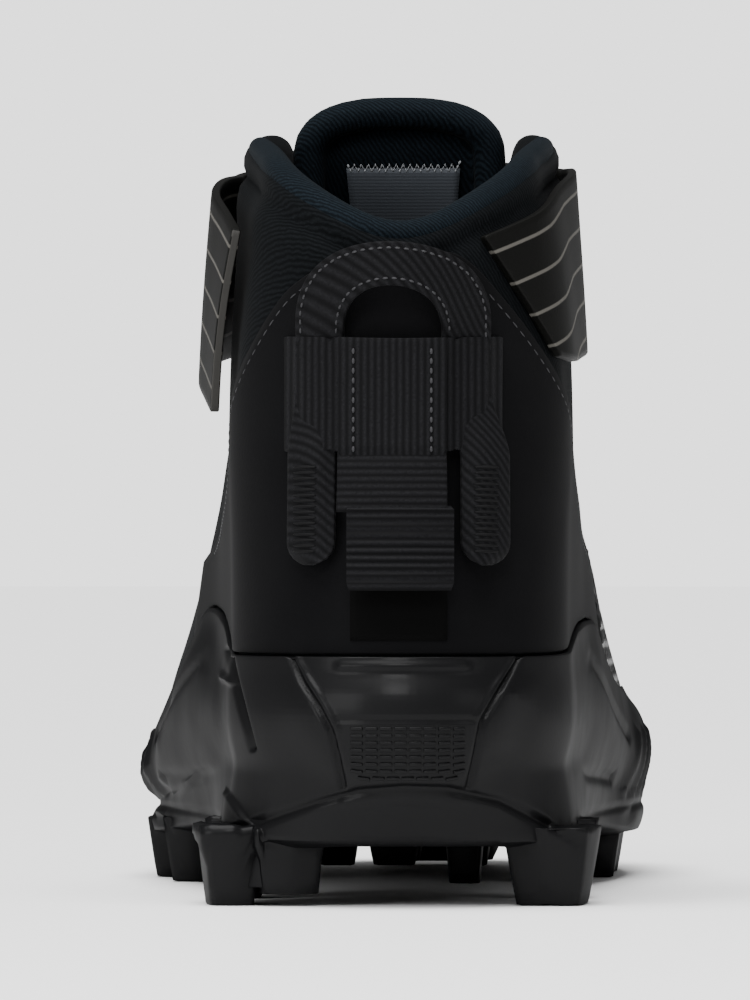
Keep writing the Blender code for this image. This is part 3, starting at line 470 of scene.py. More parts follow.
def bumped(tree, shader, height, strength, depth):
    """Feeds a height into the shader's normal. Depth is the height's real size."""
    bump = node(tree, "ShaderNodeBump", [("Height", height)], Strength=strength, Distance=depth)
    tree.links.new(bump.outputs["Normal"], shader.inputs["Normal"])


def blended(tree, low, high, share):
    """A colour between two hex colours, by a share from 0 to 1."""
    mixer = node(tree, "ShaderNodeMix", [("Factor", share)], data_type="RGBA")
    mixer.inputs[6].default_value = linear(low)
    mixer.inputs[7].default_value = linear(high)
    return mixer.outputs[2]


# %% [markdown]
# ### Moulded rubber
# The sole is carbon-black rubber from a polished steel mould: an even black skin with a broad
# satin sheen and, close by, a faint orange peel. A skin with this grain shadows itself when it
# is seen at a slant, so Layer Weight lets the gloss fade towards the outline.

# %% Moulded rubber
GRAIN = 0.9 * MM
CLOUDS = 14 * MM

rubber, tree, shader = finish_of("moulded rubber", "#0A0A0B", 0.5, Coat_Roughness=0.22)
grain = noise(tree, GRAIN, 3)
sheen = node(tree, "ShaderNodeMapRange", [("Value", noise(tree, CLOUDS, 4))], To_Min=0.45, To_Max=0.6)
tree.links.new(sheen.outputs["Result"], shader.inputs["Roughness"])
bumped(tree, shader, grain, 0.25, 0.08 * MM)
facing = node(tree, "ShaderNodeLayerWeight").outputs["Facing"]
for socket, face_on, grazing in (("Specular IOR Level", 0.06, 0.018), ("Coat Weight", 0.07, 0.0)):
    fade = node(tree, "ShaderNodeMapRange", [("Value", facing)], From_Min=0.3, From_Max=0.8,
                To_Min=face_on, To_Max=grazing)
    tree.links.new(fade.outputs["Result"], shader.inputs[socket])
print("Material:", rubber.name)

# %% [markdown]
# ### Knit, suede, webbing
# The collar and the tongue are brushed jersey over foam, the quarter is a short-napped
# synthetic suede, and the loop, the band and the tab are woven tape.


# %% Textiles
JERSEY_SCALE = 0.36


def jersey(name, colour, light, rib):
    """Brushed knit: fine ribs of thread in a soft nap."""
    material, tree, shader = finish_of(name, colour, 0.9, Specular_IOR_Level=0.03, Sheen_Weight=0.01,
                                       Sheen_Roughness=0.4)
    wave = node(tree, "ShaderNodeTexWave", [("Vector", place_of(tree))], wave_type="BANDS",
                bands_direction="DIAGONAL", Scale=JERSEY_SCALE / rib, Distortion=3.5, Detail=3)
    both = node(tree, "ShaderNodeMath", [(0, wave.outputs["Fac"]), (1, noise(tree, rib, 5))],
                operation="MULTIPLY")
    tree.links.new(blended(tree, colour, light, both.outputs["Value"]), shader.inputs["Base Color"])
    bumped(tree, shader, both.outputs["Value"], 0.35, 0.2 * MM)
    return material


knit = jersey("knit textile", "#050607", "#131517", 0.8 * MM)
lining = jersey("brushed lining jersey", "#070A0D", "#182026", 0.7 * MM)
footbed = jersey("footbed fabric", "#111112", "#242426", 1.0 * MM)

suede, tree, shader = finish_of("synthetic suede", "#070708", 0.75, Specular_IOR_Level=0.03,
                                Sheen_Weight=0.01, Sheen_Roughness=0.5)
patches = blended(tree, "#050506", "#0B0B0C", noise(tree, 18 * MM, 3))
tree.links.new(patches, shader.inputs["Base Color"])
bumped(tree, shader, noise(tree, 0.7 * MM, 5), 0.35, 0.12 * MM)


def tape(name, direction, rib, colour="#060607", light="#1A1A1C"):
    """Woven tape with ribs across one direction of the shoe."""
    material, tree, shader = finish_of(name, colour, 0.7, Specular_IOR_Level=0.05, Sheen_Weight=0.01)
    ribs = node(tree, "ShaderNodeTexWave", [("Vector", place_of(tree))], wave_type="BANDS",
                bands_direction=direction, Scale=RIB_SCALE / rib, Distortion=0.4, Detail=1)
    both = node(tree, "ShaderNodeMath", [(0, ribs.outputs["Fac"]), (1, noise(tree, 0.6 * MM, 3))],
                operation="MULTIPLY")
    tree.links.new(blended(tree, colour, light, both.outputs["Value"]), shader.inputs["Base Color"])
    bumped(tree, shader, both.outputs["Value"], 0.6, 0.3 * MM)
    return material


ribbed_up = tape("ribbed elastic", "X", 1.5 * MM)
ribbed_across = tape("ribbed webbing", "Z", 1.5 * MM)
twill = tape("twill webbing", "DIAGONAL", 1.2 * MM)
lace_weave = tape("lace weave", "DIAGONAL", 0.9 * MM)
thread = finish_of("polyester thread", "#28282A", 0.6, Specular_IOR_Level=0.2)[0]
tack_thread = finish_of("bartack thread", "#0B0B0C", 0.7, Specular_IOR_Level=0.08)[0]
pale_thread = finish_of("pale polyester thread", "#9A9DA0", 0.6)[0]
print("Materials:", [material.name for material in (knit, lining, footbed, suede, ribbed_up, twill)])

# %% [markdown]
# ### Net film and strap
# The side and the toe wear a moulded film, shiny over its raised net. The strap is a coated
# synthetic, printed with thin pale lines that run its whole length.

# %% Film and strap
net_film, tree, shader = finish_of("moulded net film", "#09090A", 0.42, IOR=1.5, Coat_Weight=0.2,
                                   Coat_Roughness=0.15, Specular_IOR_Level=0.3)
bumped(tree, shader, noise(tree, 1.5 * MM, 3), 0.15, 0.1 * MM)

LINE_SHARE = 0.045

strap_skin, tree, shader = finish_of("coated synthetic", "#080807", 0.55, Specular_IOR_Level=0.06)
across = node(tree, "ShaderNodeAttribute", attribute_name="across").outputs["Fac"]
lane = node(tree, "ShaderNodeMath", [(0, across)], operation="FRACT")
off = node(tree, "ShaderNodeMath", [(0, lane.outputs["Value"])], operation="SUBTRACT")
off.inputs[1].default_value = 0.5
near = node(tree, "ShaderNodeMath", [(0, off.outputs["Value"])], operation="ABSOLUTE")
line = node(tree, "ShaderNodeMapRange", [("Value", near.outputs["Value"])],
            interpolation_type="SMOOTHSTEP", From_Min=LINE_SHARE * 1.4, From_Max=LINE_SHARE * 0.6)
tree.links.new(blended(tree, "#080807", "#4A4844", line.outputs["Result"]), shader.inputs["Base Color"])
bumped(tree, shader, noise(tree, 0.8 * MM, 4), 0.25, 0.1 * MM)
cut_edge = finish_of("cut strap edge", "#2A2927", 0.7, Specular_IOR_Level=0.2)[0]
print("Materials:", net_film.name, "and", strap_skin.name)

# %% [markdown]
# ## The sole
# The cup and its lugs are one moulding. The copy is smoothed with its lug edges kept crisp,
# and its heel and its sides are made finer. Then grooves and ridges are pressed into the heel
# where the eye sees them: each has a line of pixels, a width in pixels and a height in
# millimetres. Above the rear corner lug stands a shield, raised inside a closed outline.

# %% Raised shields
def inside(points, outline):
    """Whether each point lies inside a closed outline."""
    crossings = np.zeros(len(points), bool)
    for (ax, ay), (bx, by) in zip(outline, outline[1:] + outline[:1]):
        spans = (ay > points[:, 1]) != (by > points[:, 1])
        reach = (bx - ax) * (points[:, 1] - ay) / (by - ay + 1e-12) + ax
        crossings ^= spans & (points[:, 0] < reach)
    return crossings


def raised(points, outline, soft):
    """1 inside an outline, 0 outside it and a soft rise across its edge."""
    away = away_from(points, outline + outline[:1])
    return step(np.where(inside(points, outline), away, -away), -soft / 2, soft / 2)


# %% The moulded cup
LUG_TOP, HEEL_END = 12 * MM, -82 * MM
SIDE_LOW, SIDE_HIGH = 14 * MM, 50 * MM

sole = smoothed(copied("outsole", "cup_sole"), 2, angle=32, crease=0.8)
finer(sole, 2, lambda place, normal: place.z > LUG_TOP and place.y < HEEL_END and normal.y < 0.2
      and faces_out(place, normal))
finer(sole, 1, lambda place, normal: SIDE_LOW < place.z < SIDE_HIGH and place.y > HEEL_END
      and abs(normal.x) > 0.45 and faces_out(place, normal))

HEEL_GROOVES = [
    ([(215.5, 585), (221, 597), (228, 608), (233, 618), (236, 630), (238.5, 643)], 1.1, -1.2),
    ([(316.5, 585), (308, 599), (300, 613), (298, 624), (296, 634), (294, 643)], 1.1, -1.2),
    ([(236, 613.6), (297, 613.6)], 0.8, -0.35),
    ([(188.5, 583), (191.5, 597), (195, 611), (199, 626)], 1.2, -1.3),
    ([(342.5, 584), (344, 593), (342, 603), (337, 615), (338, 628)], 1.3, -1.3),
    ([(194, 661), (209, 656), (227, 650), (245, 645.5), (265, 644), (285, 644.5), (308, 649),
      (330, 660), (344, 668)], 1.8, -0.9),
    ([(181, 626), (178, 632), (174.5, 638), (172, 643)], 1.3, -1.6),
    ([(206, 667), (235, 667), (285, 667), (306, 667)], 1.2, -0.4),
]
HEEL_RIDGES = [
    ([(218.5, 587), (224, 597), (231, 608), (236, 618)], 1.3, 0.5),
    ([(313.5, 587), (305.5, 599), (297.5, 613)], 1.3, 0.5),
    ([(240, 650), (265, 648.5), (290, 649.5)], 2.5, 0.35),
    ([(238, 590), (292, 590)], 2.2, 0.5),
    ([(346, 590), (346.5, 600), (341.5, 614), (342, 628)], 1.3, 0.5),
]
CLAW_RIDGES = [
    ([(175, 578), (177, 586), (181, 591.5), (190, 597)], 1.2, 1.1),
    ([(178.5, 613), (182, 618), (184, 627), (184.8, 641)], 1.3, 0.9),
    ([(169, 588), (164, 603), (160, 618), (164, 636)], 2.0, 0.6),
    ([(171, 577), (168, 590)], 1.5, -0.7),
]
LUG_SHIELD = [(185.5, 641), (190.5, 648), (196, 656), (203, 663), (205, 680), (181, 680), (176.5, 668),
              (173, 661), (173.5, 653), (178, 646), (181.5, 641.5)]
SOFT_EDGE, SHIELD_HIGH = 1.6, 1.1
FLANGE_RIBS = [([(353.5, y), (360.5, y)], 1.1, 0.9) for y in (636, 644, 651, 658)]


def heel_relief(places, normals):
    """Grooves and ridges on what the eye sees of the heel."""
    pixels = in_picture(places)
    facing = step(-normals[:, 1] - 0.5 * normals[:, 0], -0.1, 0.2)
    facing *= step(-places[:, 1], -HEEL_END, -HEEL_END + 10 * MM)
    height = np.zeros(len(places))
    for line, width, depth in HEEL_GROOVES + HEEL_RIDGES + CLAW_RIDGES + FLANGE_RIBS:
        height += depth * np.exp(-(away_from(pixels, line) / width) ** 2)
    height += SHIELD_HIGH * raised(pixels, LUG_SHIELD, SOFT_EDGE) * step(places[:, 2] / MM, 10, 13)
    return height * facing * MM


relief(sole, heel_relief)

# %% [markdown]
# The sides are not seen from behind, so they follow common practice: a parting line runs round
# above the lugs, and slanted ribs stiffen the ball on both sides. They are drawn in side view,
# as lines of y and z in millimetres.

# %% Lines along the sides
PARTING_HEIGHT = 17
RIBS = [[(20 + 13 * i, 21), (28 + 13 * i, 33)] for i in range(5)]
ARCH_LINES = [[(-112, 44), (-60, 52), (-20, 41), (15, 33)], [(-100, 30), (-50, 26), (0, 24)]]


def side_relief(places, normals):
    """The parting line all round and the ribs and arch lines of the sides."""
    flat = places[:, 1:3] / MM
    sideways = step(np.abs(normals[:, 0]), 0.45, 0.75)
    round_it = step(1 - np.abs(normals[:, 2]), 0.3, 0.6) * step(places[:, 1], -0.090, -0.060)
    ahead = step(places[:, 1], -0.075, -0.050)
    height = -0.5 * round_it * np.exp(-((flat[:, 1] - PARTING_HEIGHT) / 0.9) ** 2)
    for line in RIBS:
        height += 0.9 * sideways * np.exp(-(away_from(flat, line) / 1.7) ** 2)
    for line in ARCH_LINES:
        height -= 0.8 * sideways * ahead * np.exp(-(away_from(flat, line) / 1.5) ** 2)
    return height * MM


relief(sole, side_relief)
belongs(sole, "moulded_rubber", "outsole")
painted(sole, rubber)

# %% [markdown]
# The heel's tread patch is a grid of short raised bars. One bar is a rounded box of a few
# dozen faces. It is copied to each place in the grid, turned to the surface, and the copies
# are joined.


# %% Raised bars
def bars(name, places, size, material, slot):
    """Rounded boxes on a surface: each place has a point, a normal and a level direction."""
    bpy.ops.object.select_all(action="DESELECT")
    bpy.ops.mesh.primitive_cube_add(size=1)
    pattern = bpy.context.object
    pattern.scale = size
    bpy.ops.object.transform_apply(scale=True)
    shaped(pattern, "BEVEL", width=min(size) * 0.3, segments=2)
    made = []
    for place, normal, level in places:
        bar = linked(name, pattern.data.copy())
        across = level.normalized()
        upward = normal.cross(across).normalized()
        across = upward.cross(normal).normalized()
        for vert in bar.data.vertices:
            vert.co = place + across * vert.co.x + upward * vert.co.y + normal * vert.co.z
        made.append(bar)
    bpy.data.objects.remove(pattern)
    piece = joined(made, name)
    belongs(piece, slot)
    return painted(piece, material)


TREAD_TOP, TREAD_BOTTOM, TREAD_ROW, TREAD_COLUMN = 617.5, 642.0, 3.1, 6.4
TREAD_LEFT, TREAD_RIGHT, TREAD_TAPER = 239, 295, 3
BAR_SIZE = (2.7 * MM, 0.75 * MM, 0.7 * MM)

sole_surface = surface(sole)
grid = []
pixel_y = TREAD_TOP
while pixel_y < TREAD_BOTTOM:
    share = (pixel_y - TREAD_TOP) / (TREAD_BOTTOM - TREAD_TOP)
    left, right = TREAD_LEFT + TREAD_TAPER * share, TREAD_RIGHT - TREAD_TAPER * share
    count = int((right - left) / TREAD_COLUMN)
    for i in range(count):
        pixel_x = (left + right) / 2 + (i - (count - 1) / 2) * TREAD_COLUMN
        place, normal = seen(sole_surface, (pixel_x, pixel_y), 0.05 * MM)
        grid.append((place, normal, Vector((1, 0, 0))))
    pixel_y += TREAD_ROW
bars("heel_tread", grid, BAR_SIZE, rubber, "moulded_rubber")

# %% [markdown]
# The rear lateral lug and the one beside it are tied by a web of rubber that ends above the
# ground. From behind, the three read as one wide block with a notch in its foot.

# %% Web between the corner lugs
WEB_LEFT, WEB_RIGHT, WEB_TOP, WEB_FOOT = 197, 206, 657, 687
WEB_DEPTH, WEB_PROUD = 9 * MM, 0.05 * MM

bpy.ops.object.select_all(action="DESELECT")
bpy.ops.mesh.primitive_cube_add(size=1)
web = bpy.context.object
web.name = "lug_web"
for vert in web.data.vertices:
    pixel = (WEB_RIGHT if vert.co.x > 0 else WEB_LEFT, WEB_TOP if vert.co.z > 0 else WEB_FOOT)
    ahead = WEB_DEPTH if vert.co.y > 0 else -WEB_PROUD
    vert.co = seen(sole_surface, pixel)[0] + Vector((0, ahead, 0))
shaped(web, "BEVEL", width=0.3 * MM, segments=3)
belongs(web, "moulded_rubber")
painted(web, rubber)

# %% [markdown]
# ## The upper
# The knit shell is one wall from the featherline to the padded collar. After smoothing, the
# collar gets the crease that parts its rolled rim from the pad below. It is one of three forms,
# each with a distance below the rim, a width and a height in millimetres, and whether it stays
# on the outside. The vamp gets the soft troughs that walking leaves over the ball.

# %% The knit shell
COLLAR_MIDDLE = np.array([0.003, -0.085])
RIM_FORMS = [(7.5, 1.3, -1.3, True), (3.0, 2.5, 0.5, False), (14.0, 5.0, 0.8, True)]
FLEX_CREASES = [(34, 0.8, 3.2), (47, 0.6, 2.8), (58, 0.5, 2.6)]

shell = smoothed(copied("upper", "knit_shell"), 2, angle=60, crease=0.3)
shell_places = arrays(shell)[0]


def rim_height(places):
    """How high the collar's rim is above each place, from the highest vertex near its bearing."""
    bearing = np.arctan2(*(shell_places[:, :2] - COLLAR_MIDDLE).T)
    own = np.arctan2(*(places[:, :2] - COLLAR_MIDDLE).T)
    bins = np.linspace(-math.pi, math.pi, 73)
    tops = np.array([shell_places[(bearing >= low) & (bearing < high), 2].max(initial=0)
                     for low, high in zip(bins, bins[1:])])
    middles = (bins[1:] + bins[:-1]) / 2
    return np.interp(own, middles, tops, period=2 * math.pi) - places[:, 2]


def shell_relief(places, normals):
    """The forms below the collar's rim, and the flex creases over the ball."""
    outward = np.sum((places[:, :2] - COLLAR_MIDDLE) * normals[:, :2], axis=1)
    ankle = step(-places[:, 1], 0.045, 0.065) * step(places[:, 2], 0.120, 0.130)
    below = rim_height(places) / MM
    outside = step(outward, 0.0, 0.01)
    height = np.zeros(len(places))
    for where, width, rise, outer in RIM_FORMS:
        height += rise * np.exp(-((below - where) / width) ** 2) * ankle * (outside if outer else 1)
    y = places[:, 1] / MM
    over = step(normals[:, 2], 0.35, 0.75)
    for where, depth, width in FLEX_CREASES:
        bent = where - 0.008 * (places[:, 0] / MM) ** 2
        height -= depth * over * np.exp(-((y - bent) / width) ** 2)
    return height * MM


relief(shell, shell_relief)
belongs(shell, "knit_upper", "upper")
painted(shell, knit)

# %% [markdown]
# The collar's rim is a soft roll of lining jersey, sewn round the mouth of the shell. It is a
# tube along the middle of the rim, thinner towards the tongue, where it is sewn in.

# %% The collar's roll
ROLL_TURN, ROLL_STEPS = 122, 60
COLLAR_ROLL, COLLAR_SINK = 3.5 * MM, 1.9 * MM


def tube(name, path, radii):
    """A closed round tube along a path."""
    curve = bpy.data.curves.new(name, "CURVE")
    curve.dimensions = "3D"
    curve.bevel_depth = 1.0
    curve.bevel_resolution = 3
    curve.use_fill_caps = True
    spline = curve.splines.new("POLY")
    spline.points.add(len(path) - 1)
    for knot, place, radius in zip(spline.points, path, radii):
        knot.co = (*place, 1)
        knot.radius = radius
    only(linked(name, curve))
    bpy.ops.object.convert(target="MESH")
    return bpy.context.object


across_rim = shell_places[:, 0] - COLLAR_MIDDLE[0]
behind_rim = COLLAR_MIDDLE[1] - shell_places[:, 1]
bearings = np.degrees(np.arctan2(across_rim, behind_rim))
rim, rim_radii = [], []
for i in range(ROLL_STEPS + 1):
    bearing = ROLL_TURN * (2 * i / ROLL_STEPS - 1)
    slice_of_shell = shell_places[np.abs(bearings - bearing) < 2.5]
    top = slice_of_shell[:, 2].max()
    middle = slice_of_shell[slice_of_shell[:, 2] > top - 1.2 * MM].mean(axis=0)
    rim.append(Vector((middle[0], middle[1], top - COLLAR_SINK)))
    rim_radii.append(COLLAR_ROLL * (1 - 0.45 * abs(bearing / ROLL_TURN) ** 6))
for _ in range(4):
    rim[1:-1] = [(a + b * 2 + c) / 4 for a, b, c in zip(rim, rim[1:], rim[2:])]
collar_roll = tube("collar_roll", rim, rim_radii)
shaped(collar_roll, "SUBSURF", levels=1, render_levels=1)
belongs(collar_roll, "knit_upper")
painted(collar_roll, lining)

# %% [markdown]
# ## The tongue
# The tongue is a pad with a thick rolled rim at its arched top. The roll is a tube along the
# arch. Pad and tube are joined, remeshed into one skin and relaxed, as foam under one cloth.

# %% The padded tongue
ROLL_RADIUS = 3.7 * MM
ROLL_BEHIND = 1.5 * MM
HOOD_X, HOOD_Z, HOOD_BEHIND = 2.9 * MM, 163 * MM, -0.050
HOOD_HALF, HOOD_RISE, HOOD_POWER = 20.1 * MM, 10.2 * MM, 2 / 2.6
HOOD_STEPS, HOOD_SIDE = 28, 5

tongue = smoothed(copied("tongue", "padded_tongue"), 2, angle=50, crease=0.2)
arch = []
tongue_surface = surface(tongue)
for i in range(-HOOD_SIDE, HOOD_STEPS + HOOD_SIDE + 1):
    turn = math.pi * min(max(i / HOOD_STEPS, 0), 1)
    over, up = math.cos(turn), math.sin(turn)
    x = HOOD_X - HOOD_HALF * math.copysign(abs(over) ** HOOD_POWER, over)
    z = HOOD_Z + HOOD_RISE * up ** HOOD_POWER - 2.5 * MM * max(-i, i - HOOD_STEPS, 0)
    place = tongue_surface.find_nearest(Vector((x, HOOD_BEHIND, z)))[0]
    arch.append(Vector((x, place.y - ROLL_BEHIND, z)))
roll = tube("tongue_roll", arch, [ROLL_RADIUS] * len(arch))
joined([tongue, roll], "padded_tongue")
shaped(tongue, "REMESH", mode="VOXEL", voxel_size=0.9 * MM)
shaped(tongue, "SMOOTH", factor=0.5, iterations=4)
belongs(tongue, "tongue_knit", "tongue")
painted(tongue, lining)

# %% [markdown]
# The label inside the tongue is a satin patch. It is a sheet of fine squares laid on the
# tongue along the lines of sight, given a thin wall, and sewn along its top edge.


# %% A patch laid along the lines of sight
def covered(bm, rows):
    """Fills rows of vertices with squares."""
    for above, under in zip(rows, rows[1:]):
        for i in range(len(above) - 1):
            bm.faces.new((above[i], under[i], under[i + 1], above[i + 1]))


def patch(name, below, corners, squares, lift, thickness, material, slot):
    """A thin sheet between four corner pixels: top left, top right, low left, low right."""
    across, down = squares
    bm = bmesh.new()
    rows = []
    for j in range(down + 1):
        left = Vector(corners[0]).lerp(Vector(corners[2]), j / down)
        right = Vector(corners[1]).lerp(Vector(corners[3]), j / down)
        rows.append([bm.verts.new(seen(below, left.lerp(right, i / across), lift)[0])
                     for i in range(across + 1)])
    covered(bm, rows)
    piece = built(bm, name)
    shaped(piece, "SOLIDIFY", thickness=thickness, offset=1)
    belongs(piece, slot)
    return painted(piece, material)


satin, tree, shader = finish_of("label satin", "#4C5056", 0.5, Specular_IOR_Level=0.2)
weave = node(tree, "ShaderNodeTexWave", [("Vector", place_of(tree))], wave_type="BANDS",
             bands_direction="Z", Scale=RIB_SCALE / (0.7 * MM), Distortion=0.5)
bumped(tree, shader, weave.outputs["Fac"], 0.3, 0.1 * MM)

LABEL = [(240, 372), (290, 372), (243, 402), (288, 402)]
ZIGZAG_LEFT, ZIGZAG_WIDE, ZIGZAG_TURNS, ZIGZAG_TOP, ZIGZAG_HIGH = 240.5, 49, 32, 370.2, 3.0

tongue_surface = surface(tongue)
patch("tongue_label", tongue_surface, LABEL, (16, 12), 0.25 * MM, 0.5 * MM, satin, "tongue_knit")
zigzag = []
for i in range(ZIGZAG_TURNS + 1):
    pixel = (ZIGZAG_LEFT + ZIGZAG_WIDE * i / ZIGZAG_TURNS, ZIGZAG_TOP + ZIGZAG_HIGH * (i % 2))
    zigzag.append(seen(tongue_surface, pixel, 0.75 * MM)[0])
stitched("label_stitches", [zigzag], pale_thread, "tongue_knit", 1.0 * MM, 0.1 * MM, 0.6 * MM)

# %% [markdown]
# ## The heel quarter
# The quarter is a panel of synthetic suede. A line of stitches follows its peaked edge, a few
# millimetres inside, where the panel is sewn down to the knit.

# %% The quarter panel
QUARTER_INSET = 2.2 * MM
SEWN_ABOVE, SEWN_AHEAD = 75 * MM, -135 * MM

quarter = copied("heel_quarter", "quarter_panel")
quarter_edges = sharp_edges(quarter, 50)
smoothed(quarter, 2)
belongs(quarter, "synthetic_suede", "heel_quarter")
painted(quarter, suede)
quarter_lines = level_lines(quarter, quarter_edges, QUARTER_INSET,
                            lambda place: place.z > SEWN_ABOVE and place.y > SEWN_AHEAD)
stitched("quarter_stitches", quarter_lines, thread, "synthetic_suede", 1.9 * MM, 0.9 * MM, 0.4 * MM)

# %% [markdown]
# ## The moulded net
# The film over the side and the toe is a net of six-sided meshes. A point's height is found
# from its place in its own cell: full height within a thread's width of the cell's edge, and
# a soft hollow inside.


# %% Net relief
def cell_edge(u, v, pitch):
    """Distance from each point to the edge of its six-sided cell."""
    best = None
    for shift_u, shift_v in ((0, 0), (0.5, math.sqrt(3) / 2)):
        x = (u / pitch - shift_u + 0.5) % 1 - 0.5
        y = (v / pitch - shift_v + math.sqrt(3) / 2) % math.sqrt(3) - math.sqrt(3) / 2
        x, y = np.abs(x), np.abs(y)
        inside = 0.5 - np.maximum(x, x / 2 + y * math.sqrt(3) / 2)
        best = inside if best is None else np.maximum(best, inside)
    return best * pitch


NET_PITCH = 5.4 * MM
NET_THREAD = 0.75 * MM
NET_DEPTH = 0.7 * MM


def netted(piece, u_of, v_of):
    """Presses the meshes of the net into the outer face of a film."""
    def height(places, normals):
        middle = np.stack([np.full(len(places), HEART[0]),
                           np.clip(places[:, 1], *HEART[1]), np.full(len(places), 0.03)], axis=1)
        outer = step(np.sum((places - middle) * normals, axis=1), 0.0, 0.01)
        edge = cell_edge(u_of(places), v_of(places), NET_PITCH)
        return outer * (0.5 * NET_DEPTH - NET_DEPTH * step(edge, NET_THREAD * 0.6, NET_THREAD * 1.9))

    relief(piece, height)


FILM_SLANT, SLANT_FROM = (0, -0.9, 0.43), 6 * MM

side_film = smoothed(copied("side_skin", "net_side"), 2)
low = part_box("side_skin")[0]
only(side_film)
bpy.ops.object.mode_set(mode="EDIT")
bpy.ops.mesh.select_all(action="SELECT")
bpy.ops.mesh.bisect(plane_co=(0, low[1], low[2] + SLANT_FROM), plane_no=FILM_SLANT,
                    clear_outer=True, use_fill=True)
bpy.ops.object.mode_set(mode="OBJECT")
finer(side_film, 3, lambda place, normal: normal.x > 0.2)
netted(side_film, lambda p: p[:, 1], lambda p: p[:, 2] * 1.15)
belongs(side_film, "net_skin", "side_skin")
painted(side_film, net_film)

TOE_MIDDLE, TOE_RADIUS = 85.6 * MM, 45 * MM


def round_toe(places):
    """Distance round the toe."""
    ahead = places[:, 1] - TOE_MIDDLE
    turn = np.arctan2(np.maximum(ahead, 0), np.abs(places[:, 0]) + 1e-9)
    run = np.where(ahead > 0, turn * TOE_RADIUS, ahead)
    return np.sign(places[:, 0]) * (TOE_RADIUS * math.pi / 2 - run)


def up_toe(places):
    """Distance up the toe's slope."""
    reach = np.hypot(places[:, 0], np.maximum(places[:, 1] - TOE_MIDDLE, 0))
    return (places[:, 2] - reach) * 0.78


toe_film = smoothed(copied("toe_cap", "net_toe"), 2)
finer(toe_film, 2, lambda place, normal: normal.z > 0.02)
netted(toe_film, round_toe, up_toe)
belongs(toe_film, "net_skin", "toe_cap")
painted(toe_film, net_film)

# %% [markdown]
# ## Webbing at the heel
# The pull loop is a band of webbing sewn along both edges. Its two legs run down under an
# elastic band and come out below it, a little further apart, as padded ovals. The vertices of
# the copy's legs are moved to that shape: each keeps its place across the leg as a share.

# %% The pull loop
BAND_MIDDLE = 3.6 * MM
LEG_HALF, LEG_HIDDEN, LEG_SEEN, LEG_END = 4.9 * MM, 112 * MM, 96 * MM, 73.5 * MM
LEG_MIDDLES = (-12.8 * MM, 19.9 * MM)
LEG_SPREAD = (-1.8 * MM, 4.2 * MM)
LEG_PAD = 1.3 * MM

loop = copied("pull_loop", "webbing_loop")
loop_edges = sharp_edges(loop, 50)
smoothed(loop, 3, crease=0.6)

places, normals = arrays(loop)
which = (places[:, 0] > BAND_MIDDLE).astype(int)
middle, spread = np.array(LEG_MIDDLES)[which], np.array(LEG_SPREAD)[which]
pinch = np.sqrt(1 - (1 - np.clip((places[:, 2] - LEG_END) / LEG_HALF, 0, 1)) ** 2)
out = (places[:, 0] - middle) / LEG_HALF
below_band = 1 - step(places[:, 2], LEG_SEEN, LEG_HIDDEN)
leg = places[:, 2] < LEG_HIDDEN
pad = LEG_PAD * np.maximum(0, 1 - out ** 2) * pinch * below_band
places[:, 1] -= np.where(leg & (normals[:, 1] < 0), pad, 0)
leg_x = middle + spread * below_band + out * LEG_HALF * np.maximum(0.25, pinch)
places[:, 0] = np.where(leg, leg_x, places[:, 0])
moved(loop, places)
belongs(loop, "webbing", "pull_loop")
painted(loop, twill)
loop_lines = level_lines(loop, loop_edges, 1.5 * MM, lambda place: place.z > 0.1225, 0.003)
stitched("loop_stitches", loop_lines, thread, "webbing", 1.2 * MM, 0.7 * MM, 0.55 * MM)

# %% [markdown]
# The elastic band holds the legs to the heel. Its ends are pressed down on the quarter, and the
# two lines along which the strip is sewn to it are drawn in.

# %% The elastic band
BAND_HALF, BAND_NARROWER, END_REACH, END_DROP = 26 * MM, 0.91, 5 * MM, 2 * MM
SEWN_LINE, SEWN_WIDTH, SEWN_DEPTH = 13.6 * MM, 0.7 * MM, 0.5 * MM

band = smoothed(copied("heel_band", "elastic"), 3, crease=0.6)
places = arrays(band)[0]
out = np.abs(places[:, 0] - BAND_MIDDLE)
places[:, 1] += END_DROP * step(out, BAND_HALF - END_REACH, BAND_HALF)
places[:, 0] = BAND_MIDDLE + (places[:, 0] - BAND_MIDDLE) * BAND_NARROWER
moved(band, places)
relief(band, lambda places, normals: -SEWN_DEPTH * np.exp(
    -((np.abs(places[:, 0] - BAND_MIDDLE) - SEWN_LINE) / SEWN_WIDTH) ** 2))
belongs(band, "elastic_band", "heel_band")
painted(band, ribbed_up)

# %% [markdown]
# The legs are held by dense short rows of thread, one above the other. Each row is one stitch
# as wide as the leg's middle, bent over the pad.

# %% Bartacks on the legs
LEG_ROWS, LEG_ROW_STEP, LEG_FIRST_ROW, LEG_REACH = 16, 1.2 * MM, 76.5 * MM, 3.2 * MM
BEHIND = -200 * MM

loop_surface = surface(loop)
tacks = []
for middle, spread in zip(LEG_MIDDLES, LEG_SPREAD):
    for row in range(LEG_ROWS):
        height = LEG_FIRST_ROW + row * LEG_ROW_STEP
        starts = [Vector((middle + spread + part * LEG_REACH, BEHIND, height))
                  for part in (-1, -0.5, 0, 0.5, 1)]
        tacks.append([loop_surface.ray_cast(start, Vector((0, 1, 0)))[0] for start in starts])
stitched("leg_bartacks", tacks, tack_thread, "webbing", 1.9 * LEG_REACH, LEG_REACH, 0.9 * MM)

# %% [markdown]
# A narrower strip crosses the band, turns under its lower edge and ends in a folded tab. Above
# the turn its ribs run down, below it they run across, so its faces take two materials. The
# copy is cut off at the fold, and the tab is a new sheet in front of the heel, rippled by its
# ribs. Under it lies a thin near-black patch on the heel: a painted shadow of the tab.

# %% Strip and folded tab
FOLD_HEIGHT, STRIP_TURN = 85.9 * MM, 97.2 * MM
TURN_DEPTH, TURN_WIDTH = 0.7 * MM, 0.6 * MM

